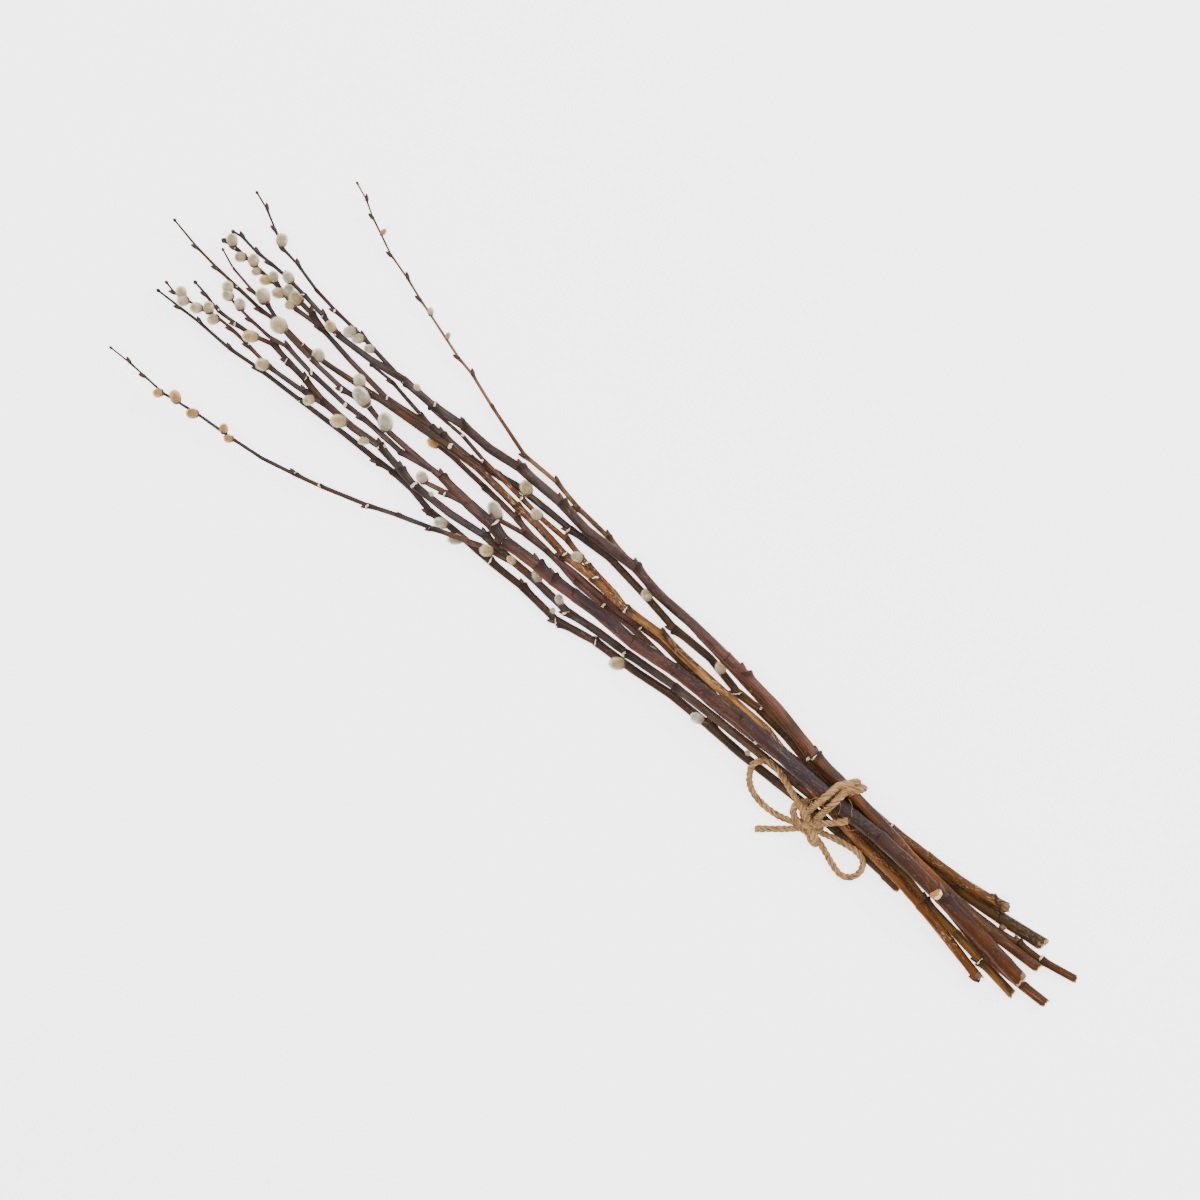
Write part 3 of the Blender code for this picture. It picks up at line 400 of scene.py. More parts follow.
def ease(value):
    """Smooth step from 0 to 1."""
    value = min(max(value, 0.0), 1.0)
    return value * value * (3.0 - 2.0 * value)


def girth_at(stem, station):
    """Radius of a stem at a station along the bunch."""
    stations, diameters = zip(*stem["girth"])
    return 0.5 * float(np.interp(station, stations, diameters))


def rest_height(branch, stem, station, radius):
    """Height of a stem's axis over the table, before the branch is laid on the others."""
    from_root = ease((station - stem["nodes"][0][0]) / SHOOT_BLEND)
    lead = stem["root_radius"] or radius
    along = ease((station - RISE_FROM * LENGTH) / ((1.0 - RISE_FROM) * LENGTH))
    return lead + (radius - lead) * from_root + branch["rise"] * along


def stem_points(branch, stem):
    """Points (x, y, z, radius, growth) a millimetre apart along a stem, before it is laid."""
    nodes = stem["nodes"]
    spots = []
    for first, second in zip(nodes, nodes[1:]):
        span = math.hypot(second[0] - first[0], second[1] - first[1])
        pieces = max(1, math.ceil(span))
        for index in range(pieces):
            x = first[0] + (second[0] - first[0]) * index / pieces
            y = first[1] + (second[1] - first[1]) * index / pieces
            spots.append((x, y, first[2] if index == 0 else None))
    spots.append((nodes[-1][0], nodes[-1][1], "tip"))
    points = []
    for x, y, growth in spots:
        radius = girth_at(stem, x)
        points.append((x, y, rest_height(branch, stem, x, radius), radius, growth))
    return points


def heading_at(points, index):
    """Direction of a stem at one of its points."""
    before = Vector(points[max(index - 1, 0)][:3])
    after = Vector(points[min(index + 1, len(points) - 1)][:3])
    return (after - before).normalized()


def bud_line(node, heading, radius, growth):
    """Root and point of a bud on the left or right of a node."""
    side = 1.0 if growth == "L" else -1.0
    outward = Vector((-heading.y, heading.x, 0.0)).normalized() * side
    reach = BUD_AHEAD[0] + BUD_AHEAD[1] * radius
    root = node - heading * BUD_BEHIND
    point = node + heading * reach + outward * (radius + BUD_ASIDE) + Vector((0.0, 0.0, BUD_UP * radius))
    return root, point


def bud_radius(stem_radius):
    """Half width of a bud on a stem of this radius."""
    return BUD_WIDTH[0] + BUD_WIDTH[1] * stem_radius


def catkin_line(axis_points, catkin):
    """Root and centre of a catkin: its root on the stem's axis, its centre out to the side or up."""
    x, y, length = catkin[:3]
    reach = CATKIN_REACH * length
    root_x = x - CATKIN_BACK * length
    gaps = [math.hypot(point[0] - root_x, point[1] - y) for point in axis_points]
    root = Vector(axis_points[gaps.index(min(gaps))][:3])
    aside = Vector((x - root.x, y - root.y, 0.0))
    if aside.length >= CATKIN_LEVEL * reach:
        aside = aside.normalized() * CATKIN_LEVEL * reach
    up = math.sqrt(reach * reach - aside.length_squared)
    return root, root + aside + Vector((0.0, 0.0, up))


def branch_spheres(branch):
    """Balls that fill a branch before it is laid: stems, buds and catkins."""
    balls = []
    axis = []
    for stem in branch["stems"]:
        points = stem_points(branch, stem)
        axis.extend(points)
        for index, (x, y, z, radius, growth) in enumerate(points):
            swell = NODE_SWELL if growth in ("L", "R", "S") else 1.0
            balls.append((x, y, z, radius * swell))
            if growth in ("L", "R"):
                root, point = bud_line(Vector((x, y, z)), heading_at(points, index), radius, growth)
                for part, size in BUD_BALLS:
                    balls.append((*root.lerp(point, part), bud_radius(radius) * size))
    for catkin in branch["catkins"]:
        root, centre = catkin_line(axis, catkin)
        along = (centre - root).normalized() * 0.5 * catkin[2]
        for part, size in CATKIN_BALLS:
            balls.append((*(centre + along * part), 0.5 * catkin[3] * size))
    return np.array(balls)


def settled(need, slope, ease_width):
    """A gentle curve that stays on or over every needed height."""
    curve = need.copy()
    for index in range(1, len(curve)):
        curve[index] = max(curve[index], curve[index - 1] - slope)
    for index in range(len(curve) - 2, -1, -1):
        curve[index] = max(curve[index], curve[index + 1] - slope)
    padded = np.pad(curve, ease_width, mode="edge")
    spread = np.array([padded[i:i + 2 * ease_width + 1].max() for i in range(len(curve))])
    half = ease_width // 2
    window = np.ones(2 * half + 1) / (2 * half + 1)
    for _ in range(2):
        padded = np.pad(spread, half, mode="edge")
        spread = np.convolve(padded, window, mode="valid")
    return spread


def lift_over(balls, laid):
    """How far a branch is lifted at each station, to lie on the table and on what is laid."""
    need = np.zeros(LENGTH)
    slot = np.clip(np.floor(balls[:, 0] - STATION_START).astype(int), 0, LENGTH - 1)
    for station in range(LENGTH):
        mine = balls[slot == station]
        if len(mine) == 0:
            continue
        need[station] = max(0.0, float((mine[:, 3] - mine[:, 2]).max()))
        near = laid[np.abs(laid[:, 0] - STATION_START - station) < NEAR]
        if len(near) == 0:
            continue
        reach = mine[:, None, 3] + near[None, :, 3] + CLEARANCE
        apart = (mine[:, None, 0] - near[None, :, 0]) ** 2 + (mine[:, None, 1] - near[None, :, 1]) ** 2
        over = reach * reach - apart
        rise = near[None, :, 2] + np.sqrt(np.maximum(over, 0.0)) - mine[:, None, 2]
        rise = np.where(over > 0.0, rise, 0.0)
        need[station] = max(need[station], float(rise.max()))
    return settled(need, BRANCH_SLOPE, BRANCH_EASE)


def lift_value(lift, station):
    """Lift at any station, read from the lifts at whole ones."""
    return np.interp(np.asarray(station) - STATION_START, np.arange(LENGTH) + 0.5, lift)


laid = []
for left, right in TURNS:
    for offset in np.arange(*TURN_REST):
        station = float(np.interp(offset, (TURN_RIGHT, TURN_LEFT), (right, left)))
        laid.append((station, offset, TWINE_D / 2, TWINE_D / 2))
under_twine = len(laid)
laid = np.array(laid)
for branch in BRANCHES.values():
    trunk = branch["stems"][0]
    trunk["root_radius"] = 0.0
    for shoot in branch["stems"][1:]:
        shoot["root_radius"] = girth_at(trunk, shoot["nodes"][0][0])
    balls = branch_spheres(branch)
    branch["lift"] = lift_over(balls, laid)
    balls[:, 2] += lift_value(branch["lift"], balls[:, 0])
    laid = np.vstack((laid, balls))
laid = laid[under_twine:]

# The wood of the branches: thin willow rods in satin bark, cut square or broken at the thick end.
# At each node the rod thickens on the bud's side and then steps back, and where a leaf or a bud
# fell the step is a pale crescent of bare wood.
FINE_STEP = 0.4
FINE_REACH = 3.6
WIDE_STEP = 1.5
LAST_GAP = 0.5
FAR = 99.0
ROUNDING_STEP = 0.25
CORNER_ROUNDING = 13
CAP_RINGS = ((0.0, 0.02, 1.0), (0.03, 0.42, 1.0), (0.06, 0.86, 1.0), (0.12, 0.95, 0.35), (0.6, 1.0, 0.0))
CAP_GAP = 0.2
SHOOT_RINGS = (0.0, 0.05)
SHOOT_ROOT = 0.05
CUT_SLANT = (0.3, -0.25, 0.15, 0.3, -0.2, 0.3, -0.35, 0.2, -0.15)
CUT_TILT = 0.32
CUT_REACH = 3.0
TIP_FORM = ((0.5, 1.05), (1.0, 1.55), (1.6, 1.75), (2.2, 1.45))
TIP_SHOULDER = (1.9, 0.8)
TIP_POINT = (2.4, 0.03)
STEM_SIDES = 20
STEM_SHIFT = 1.7
WANDER = 0.018
WANDER_STEP = 4.0
WANDER_OVER = 9.0
STEP_THICK = 0.02
STEP_THIN = 0.06
STEP_PLACE = 0.4
STEP_BEFORE = 4.0
STEP_AFTER = 7.0
MARK_START = 0.3
SCAR_ODDS = {"S": (0.65, 0.45, 0.95), "L": (0.40, 0.40, 0.80), "R": (0.40, 0.40, 0.80)}
NO_SCAR = -1.0
SCAR_TURN = 1.2
SCAR_SLOPES = (0.45, 0.2)
SCAR_UP = 0.45
SCAR_COVER = (-0.5, 0.15)
THICK_SCAR_COVER = (-0.5, -0.15)
THICK = 2.5
THICK_ODDS = 0.6
CALM_BULGE = 0.45
CALM_RING = 0.25
BULGE = {"S": 0.34, "L": 0.62, "R": 0.62}
BULGE_UP = 0.4
BULGE_FORM = (
    (0.0, 0.0), (0.3, 0.10), (0.55, 0.40), (0.69, 0.92), (0.75, 1.0), (0.83, 0.22), (0.92, 0.03), (1.0, 0.0),
)
RIPPLE_STRETCH = (160.0, 900.0, 900.0)
SPLINTERS_PER_METRE = 700.0
scar_draws = np.random.default_rng(11)


def to_metres(points):
    """Points of the bunch, in millimetres, as places in the scene."""
    moved = np.array(points, dtype=float).reshape(-1, 3)
    moved[:, :2] -= MIDDLE
    return moved * MM


def carry(mesh, key, values):
    """Gives each point of a mesh a number or a direction, under a name."""
    values = np.asarray(values, dtype=float)
    kind, field = ("FLOAT_VECTOR", "vector") if values.ndim == 2 else ("FLOAT", "value")
    mesh.attributes.new(key, kind, "POINT").data.foreach_set(field, values.ravel())


def line_mesh(name, lines):
    """A mesh of open lines. Each line has its points and its numbers, or vectors, at each point."""
    edges = []
    start = 0
    for line in lines:
        count = len(line["place"])
        edges.extend((start + index, start + index + 1) for index in range(count - 1))
        start += count
    mesh = bpy.data.meshes.new(name)
    mesh.from_pydata(np.vstack([line["place"] for line in lines]).tolist(), edges, [])
    for key in lines[0]:
        if key != "place":
            carry(mesh, key, np.concatenate([line[key] for line in lines]))
    return mesh


def node_mark(along, growth, heading, radius):
    """How one node looks: the side and size of its bulge, its slope, and its scar."""
    lateral = np.array((-heading[1], heading[0], 0.0))
    upward = np.array((0.0, 0.0, 1.0))
    turn = scar_draws.uniform(-SCAR_TURN, SCAR_TURN)
    side = lateral * {"L": 1.0, "R": -1.0, "S": turn}[growth] + upward * BULGE_UP
    odds, least, most = SCAR_ODDS[growth]
    thick = radius > THICK
    calm = thick and growth == "S"
    bulge = BULGE[growth] * (radius * CALM_BULGE if calm else min(radius, THICK))
    width = scar_draws.uniform(least, most)
    shown = scar_draws.random() < (THICK_ODDS * odds if thick else odds)
    aslant, upright = (scar_draws.normal(0.0, spread) for spread in SCAR_SLOPES)
    return {
        "along": along, "side": side / np.linalg.norm(side), "bulge": bulge * MM,
        "slope": lateral * aslant + upward * upright,
        "scar_width": (width if shown else NO_SCAR) * MM, "ring": CALM_RING if calm else 1.0,
        "scar_side": lateral * scar_draws.uniform(-1.0, 1.0) + upward * SCAR_UP,
        "scar_cover": scar_draws.uniform(*(THICK_SCAR_COVER if thick else SCAR_COVER)),
    }


def rounded_way(stem):
    """A stem's plan with rounded corners: distances, the places there, and what grows along it."""
    plan = np.array([node[:2] for node in stem["nodes"]], dtype=float)
    steps = np.hypot(*np.diff(plan, axis=0).T)
    node_along = np.concatenate(([0.0], np.cumsum(steps)))
    fine = np.linspace(0.0, node_along[-1], int(node_along[-1] / ROUNDING_STEP) + 1)
    window = np.ones(CORNER_ROUNDING) / CORNER_ROUNDING
    rounded = []
    for axis in (0, 1):
        line = np.interp(fine, node_along, plan[:, axis])
        padded = np.pad(line, CORNER_ROUNDING // 2, mode="reflect", reflect_type="odd")
        rounded.append(np.convolve(padded, window, mode="valid"))
    growths = [(along, node[2]) for along, node in zip(node_along, stem["nodes"]) if node[2]]
    return fine, rounded, growths


def ring_spots(total, growths, is_trunk):
    """Where a rod has its rings: close together at the nodes and at the cut, wider between them."""
    spots = [0.0]
    while spots[-1] < total - LAST_GAP:
        near = min((abs(along - spots[-1]) for along, _ in growths), default=FAR)
        spots.append(spots[-1] + (FINE_STEP if near < FINE_REACH else WIDE_STEP))
    spots = np.array(spots[1:-1] + [total])
    first = [ring[0] for ring in CAP_RINGS] if is_trunk else SHOOT_RINGS
    return np.concatenate((first, spots[spots > first[-1] + CAP_GAP]))


def stem_line(branch, stem, stem_number, slant):
    """The line a rod follows, with its radius, its shoulders, its scars and its cut end."""
    fine, rounded, growths = rounded_way(stem)
    total = fine[-1]
    is_trunk = not stem["root_radius"]
    spots = ring_spots(total, growths, is_trunk)
    x, y = (np.interp(spots, fine, line) for line in rounded)
    radius = np.array([girth_at(stem, station) for station in x])
    z = np.array([rest_height(branch, stem, station, size) for station, size in zip(x, radius)])
    way = np.stack([x, y, z + lift_value(branch["lift"], x)], axis=1)
    heading = np.gradient(way, axis=0)
    heading /= np.linalg.norm(heading, axis=1)[:, None]
    waves = np.arange(0.0, total + WANDER_OVER, WANDER_STEP)
    swell = 1.0 + np.interp(spots, waves, scar_draws.normal(0.0, WANDER, len(waves)))

    marks = []
    for along, growth in growths:
        away = spots - along
        index = int(np.argmin(np.abs(away)))
        change = STEP_THICK if girth_at(stem, x[index]) > THICK else STEP_THIN
        swell += change * (np.exp(-(away / STEP_BEFORE) ** 2) * (away < STEP_PLACE)
                           - np.exp(-(away / STEP_AFTER) ** 2) * (away >= STEP_PLACE))
        marks.append(node_mark(along, growth, heading[index], radius[index]))
    if not marks:
        marks.append(node_mark(total + FAR, "S", heading[-1], radius[-1]))
    ends = np.array([mark["along"] for mark in marks])
    begins = np.concatenate(([-1.0], ends[:-1] + MARK_START * np.diff(ends)))
    owner = np.searchsorted(begins, spots, side="right") - 1
    line = {key: np.array([mark[key] for mark in marks])[owner] for key in marks[0]}
    line["gap"] = (spots - line.pop("along")) * MM
    line["calm"] = np.zeros(len(spots))
    passed = np.flatnonzero(np.diff(owner))
    for place in (passed, passed + 1):
        line["scar_width"][place] = NO_SCAR * MM
        line["calm"][place] = 1.0

    radius = radius * swell
    line["cut"] = np.zeros(len(spots))
    line["broken"] = np.zeros(len(spots))
    line["lean"] = np.zeros((len(spots), 3))
    if is_trunk:
        for index, (_, share, wood) in enumerate(CAP_RINGS):
            radius[index] *= share
            line["cut"][index] = wood
        line["broken"] = np.clip(1.0 - spots / CUT_REACH, 0.0, 1.0)
        across = np.array((-heading[0][1] * slant, heading[0][0] * slant, CUT_TILT))
        line["lean"] = line["broken"][:, None] * across[None, :]
    else:
        radius[0] *= SHOOT_ROOT
    line["heading"] = heading

    size = radius[-1]
    tip = np.array((*TIP_FORM, *((size + reach, share) for reach, share in (TIP_SHOULDER, TIP_POINT))))
    for key in line:
        line[key] = np.concatenate((line[key], np.repeat(line[key][-1:], len(tip), axis=0)))
    way = np.vstack((way, way[-1] + heading[-1] * tip[:, :1]))
    place = to_metres(way)
    line.update({
        "place": place, "axis": place, "thickness": np.append(radius, size * tip[:, 1]) * MM,
        "along": np.append(spots, total + tip[:, 0]) * MM + STEM_SHIFT * stem_number,
        "station": way[:, 0] / LENGTH,
    })
    return line


def get(tree, kind, inputs=None, **settings):
    """Adds a node to a tree and gives its first output."""
    return put(tree, kind, inputs, **settings).outputs[0]


def start_tree(name, sizes):
    """A tree with a geometry input and output, and named inputs for its sizes."""
    tree = bpy.data.node_groups.new(name, "GeometryNodeTree")
    tree.interface.new_socket("Geometry", in_out="INPUT", socket_type="NodeSocketGeometry")
    for label, value in sizes.items():
        kind = "NodeSocketInt" if isinstance(value, int) else "NodeSocketFloat"
        tree.interface.new_socket(label, in_out="INPUT", socket_type=kind).default_value = value
    tree.interface.new_socket("Geometry", in_out="OUTPUT", socket_type="NodeSocketGeometry")
    return tree, put(tree, "NodeGroupInput").outputs


def end_tree(tree, geometry, surface):
    """Realizes what the tree made, gives it its material and sends it out."""
    real = get(tree, "GeometryNodeRealizeInstances", {0: geometry})
    smooth = get(tree, "GeometryNodeSetShadeSmooth", {0: real})
    coated = get(tree, "GeometryNodeSetMaterial", {0: smooth, "Material": surface})
    put(tree, "NodeGroupOutput", {0: coated})


def read(tree, name, kind="FLOAT"):
    """A value that the mesh carries at each point."""
    return get(tree, "GeometryNodeInputNamedAttribute", {"Name": name}, data_type=kind)


def read_vector(tree, name):
    """A direction or place that the mesh carries at each point."""
    return read(tree, name, "FLOAT_VECTOR")


def keep(tree, geometry, name, value, kind="FLOAT"):
    """Stores a value at each point, for the material."""
    return get(tree, "GeometryNodeStoreNamedAttribute", {0: geometry, "Name": name, "Value": value},
               data_type=kind, domain="POINT")


def vector_math(tree, operation, *values):
    """One step of sums on directions and places."""
    inputs = dict(enumerate(values))
    if operation == "SCALE":
        inputs["Scale"] = inputs.pop(1)
    made = put(tree, "ShaderNodeVectorMath", inputs, operation=operation)
    return made.outputs["Value" if operation == "DOT_PRODUCT" else "Vector"]


def number_math(tree, operation, *values):
    """One step of sums on numbers."""
    return get(tree, "ShaderNodeMath", dict(enumerate(values)), operation=operation)


def times(tree, first, second):
    """The product of two numbers."""
    return number_math(tree, "MULTIPLY", first, second)


def plus(tree, first, second):
    """The sum of two numbers."""
    return number_math(tree, "ADD", first, second)


def minus(tree, first, second):
    """The first number less the second."""
    return number_math(tree, "SUBTRACT", first, second)


def scaled(tree, value, factor, added):
    """A number multiplied by a factor, and another number added."""
    return number_math(tree, "MULTIPLY_ADD", value, factor, added)


def parts(tree, vector):
    """The three numbers of a direction or place."""
    return put(tree, "ShaderNodeSeparateXYZ", {0: vector}).outputs


def vector_of(tree, x=0.0, y=0.0, z=0.0):
    """A direction or place of three numbers."""
    return get(tree, "ShaderNodeCombineXYZ", {0: x, 1: y, 2: z})


def step(tree, value, low, high):
    """0 below the low value, 1 over the high one, smooth between them."""
    return get(tree, "ShaderNodeMapRange", {"Value": value, "From Min": low, "From Max": high},
               interpolation_type="SMOOTHSTEP")


def shaped(tree, value, form):
    """A number from 0 to 1 turned into the height of a curve through the given points."""
    curve = put(tree, "ShaderNodeFloatCurve", {"Value": value})
    points = curve.mapping.curves[0].points
    points[0].location = form[0]
    points[1].location = form[-1]
    for spot in form[1:-1]:
        points.new(*spot)
    curve.mapping.update()
    return curve.outputs[0]


def bark_tree(name, surface):
    """The rod: a ring swept along each line, pushed out at its shoulders and slanted at its cut."""
    tree, given = start_tree(name, {
        "Sides": STEM_SIDES, "Ripple": 0.13 * MM,
        "Bulge start": -9.0 * MM, "Bulge end": 3.0 * MM, "Splinters": 5.0 * MM,
    })
    curve = get(tree, "GeometryNodeMeshToCurve", {0: given["Geometry"]})
    ring = get(tree, "GeometryNodeCurvePrimitiveCircle", {"Resolution": given["Sides"], "Radius": 1.0})
    rod = get(tree, "GeometryNodeCurveToMesh", {
        "Curve": curve, "Profile Curve": ring, "Scale": read(tree, "thickness"), "Fill Caps": True,
    })
    radial = vector_math(tree, "SUBTRACT", get(tree, "GeometryNodeInputPosition"), read_vector(tree, "axis"))
    outward = vector_math(tree, "NORMALIZE", radial)
    _, aside, upward = parts(tree, radial)
    grain = vector_of(tree, read(tree, "along"), aside, upward)

    facing = vector_math(tree, "DOT_PRODUCT", outward, read_vector(tree, "side"))
    scar_face = vector_math(tree, "DOT_PRODUCT", outward, read_vector(tree, "scar_side"))
    slope = vector_math(tree, "DOT_PRODUCT", radial, read_vector(tree, "slope"))
    gap = plus(tree, read(tree, "gap"), slope)
    rise = get(tree, "ShaderNodeMapRange", {
        "Value": gap, "From Min": given["Bulge start"], "From Max": given["Bulge end"],
    })
    swollen = times(tree, step(tree, facing, -0.1, 1.0), shaped(tree, rise, BULGE_FORM))
    swollen = times(tree, swollen, read(tree, "bulge"))
    ripples = noise(tree, vector_math(tree, "MULTIPLY", grain, RIPPLE_STRETCH), 1.0)
    push = plus(tree, swollen, times(tree, minus(tree, ripples, 0.5), given["Ripple"]))
    push = times(tree, push, minus(tree, 1.0, read(tree, "cut")))

    torn = noise(tree, vector_of(tree, 0.0, aside, upward), SPLINTERS_PER_METRE, 1.0)
    torn = times(tree, minus(tree, torn, 0.5), given["Splinters"])
    lean = vector_math(tree, "DOT_PRODUCT", radial, read_vector(tree, "lean"))
    lean = scaled(tree, torn, read(tree, "broken"), lean)
    offset = vector_math(tree, "ADD", vector_math(tree, "SCALE", outward, push),
                         vector_math(tree, "SCALE", read_vector(tree, "heading"), lean))
    rod = keep(tree, rod, "grain", grain, "FLOAT_VECTOR")
    rod = keep(tree, rod, "node_gap", gap)
    rod = keep(tree, rod, "facing", facing)
    rod = keep(tree, rod, "scar_face", plus(tree, scar_face, read(tree, "scar_cover")))
    end_tree(tree, get(tree, "GeometryNodeSetPosition", {"Geometry": rod, "Offset": offset}), surface)
    return tree


def grown(name, source, tree, node):
    """The mesh that a tree makes from its source, as a finished piece that stands for a node."""
    piece = bpy.data.objects.new(name, source)
    scene.collection.objects.link(piece)
    growth = piece.modifiers.new("growth", "NODES")
    growth.node_group = tree
    for socket in tree.interface.items_tree:
        if socket.in_out == "INPUT" and socket.socket_type != "NodeSocketGeometry":
            growth[socket.identifier] = socket.default_value
    depsgraph = bpy.context.evaluated_depsgraph_get()
    shape = bpy.data.meshes.new_from_object(
        piece.evaluated_get(depsgraph), preserve_all_data_layers=True, depsgraph=depsgraph)
    piece.modifiers.clear()
    piece.data = shape
    shape.name = name
    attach(piece, "root")
    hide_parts(node)
    return piece


def carried(tree, label, output="Fac"):
    """A value that the mesh carries, read in its material."""
    return put(tree, "ShaderNodeAttribute", attribute_name=label).outputs[output]


def ramp(tree, value, places, colours):
    """A colour that runs through the given ones as a number grows."""
    made = put(tree, "ShaderNodeValToRGB", {0: value})
    stops = made.color_ramp.elements
    for index, (place, colour) in enumerate(zip(places, colours)):
        if index > 1:
            stops.new(place)
        stops[index].position = place
        stops[index].color = (*colour, 1.0)
    return made.outputs[0]


def paint(tree, shader, colour, height=None, strength=0.0, depth=0.0):
    """Gives a surface its colour and, where a height is given, a shallow relief."""
    tree.links.new(colour, shader.inputs["Base Color"])
    if height is not None:
        relief = get(tree, "ShaderNodeBump", {"Height": height, "Strength": strength, "Distance": depth})
        tree.links.new(relief, shader.inputs["Normal"])


# The bark of each branch: five colours along it, from the cut end to the tip, then the colour of
# its patches, and its wax bloom (kept to the upper side, so partly a painted highlight), its roughness
# and its flakes.
BARK_SHINE = 0.05
STRETCHES = (0.06, 0.22, 0.40, 0.56, 0.72)
BARKS = {
    "branch_01": (
        ((0.061, 0.024, 0.009), (0.073, 0.035, 0.013), (0.051, 0.023, 0.013),
         (0.039, 0.017, 0.011), (0.043, 0.028, 0.020)),
        (0.030, 0.020, 0.010), 0.15, 0.44, 0.15),
    "branch_02": (
        ((0.168, 0.076, 0.014), (0.144, 0.071, 0.014), (0.054, 0.038, 0.030),
         (0.040, 0.038, 0.039), (0.040, 0.029, 0.023)),
        (0.080, 0.031, 0.015), 0.25, 0.42, 0.15),
    "branch_03": (
        ((0.104, 0.029, 0.005), (0.106, 0.034, 0.014), (0.125, 0.051, 0.033),
         (0.121, 0.061, 0.046), (0.038, 0.022, 0.015)),
        (0.052, 0.022, 0.014), 0.10, 0.44, 0.20),
    "branch_04": (
        ((0.062, 0.027, 0.007), (0.088, 0.039, 0.007), (0.096, 0.042, 0.012),
         (0.021, 0.016, 0.014), (0.065, 0.039, 0.029)),
        (0.028, 0.018, 0.010), 0.20, 0.44, 0.15),
    "branch_05": (
        ((0.057, 0.022, 0.005), (0.079, 0.030, 0.008), (0.127, 0.057, 0.038),
         (0.072, 0.031, 0.023), (0.081, 0.035, 0.022)),
        (0.044, 0.020, 0.012), 0.10, 0.44, 0.20),
    "branch_06": (
        ((0.123, 0.038, 0.006), (0.196, 0.069, 0.020), (0.321, 0.143, 0.041),
         (0.118, 0.041, 0.018), (0.045, 0.034, 0.022)),
        (0.078, 0.027, 0.009), 0.00, 0.40, 0.75),
    "branch_07": (
        ((0.140, 0.050, 0.011), (0.081, 0.033, 0.011), (0.122, 0.053, 0.019),
         (0.155, 0.081, 0.034), (0.185, 0.098, 0.046)),
        (0.070, 0.026, 0.008), 0.05, 0.42, 0.50),
    "branch_08": (
        ((0.104, 0.028, 0.004), (0.142, 0.046, 0.014), (0.106, 0.043, 0.028),
         (0.055, 0.031, 0.024), (0.043, 0.036, 0.034)),
        (0.040, 0.023, 0.016), 0.20, 0.42, 0.12),
    "branch_09": (
        ((0.065, 0.020, 0.005), (0.036, 0.018, 0.014), (0.059, 0.021, 0.013),
         (0.103, 0.040, 0.028), (0.071, 0.041, 0.031)),
        (0.023, 0.018, 0.021), 0.12, 0.42, 0.12),
}
WAX_AND_HIGHLIGHT_GREY = (0.070, 0.052, 0.052)
BLOTCH_BROWN = (0.020, 0.012, 0.009)
STREAK_BROWN = (0.016, 0.010, 0.008)
GLINT_TAN = (0.42, 0.24, 0.11)
FLAKE_TAN = (0.60, 0.36, 0.18)
PORE_TAN = (0.30, 0.19, 0.11)
PAINTED_UNDERSIDE_SHADE = (0.012, 0.007, 0.005)
SHOULDER_BROWN = (0.022, 0.013, 0.010)
RIM_BROWN = (0.020, 0.010, 0.008)
BARE_WOOD = ((0.88, 0.78, 0.60), (0.52, 0.27, 0.15))
CUT_WOOD = ((0.56, 0.36, 0.15), (0.15, 0.066, 0.024))


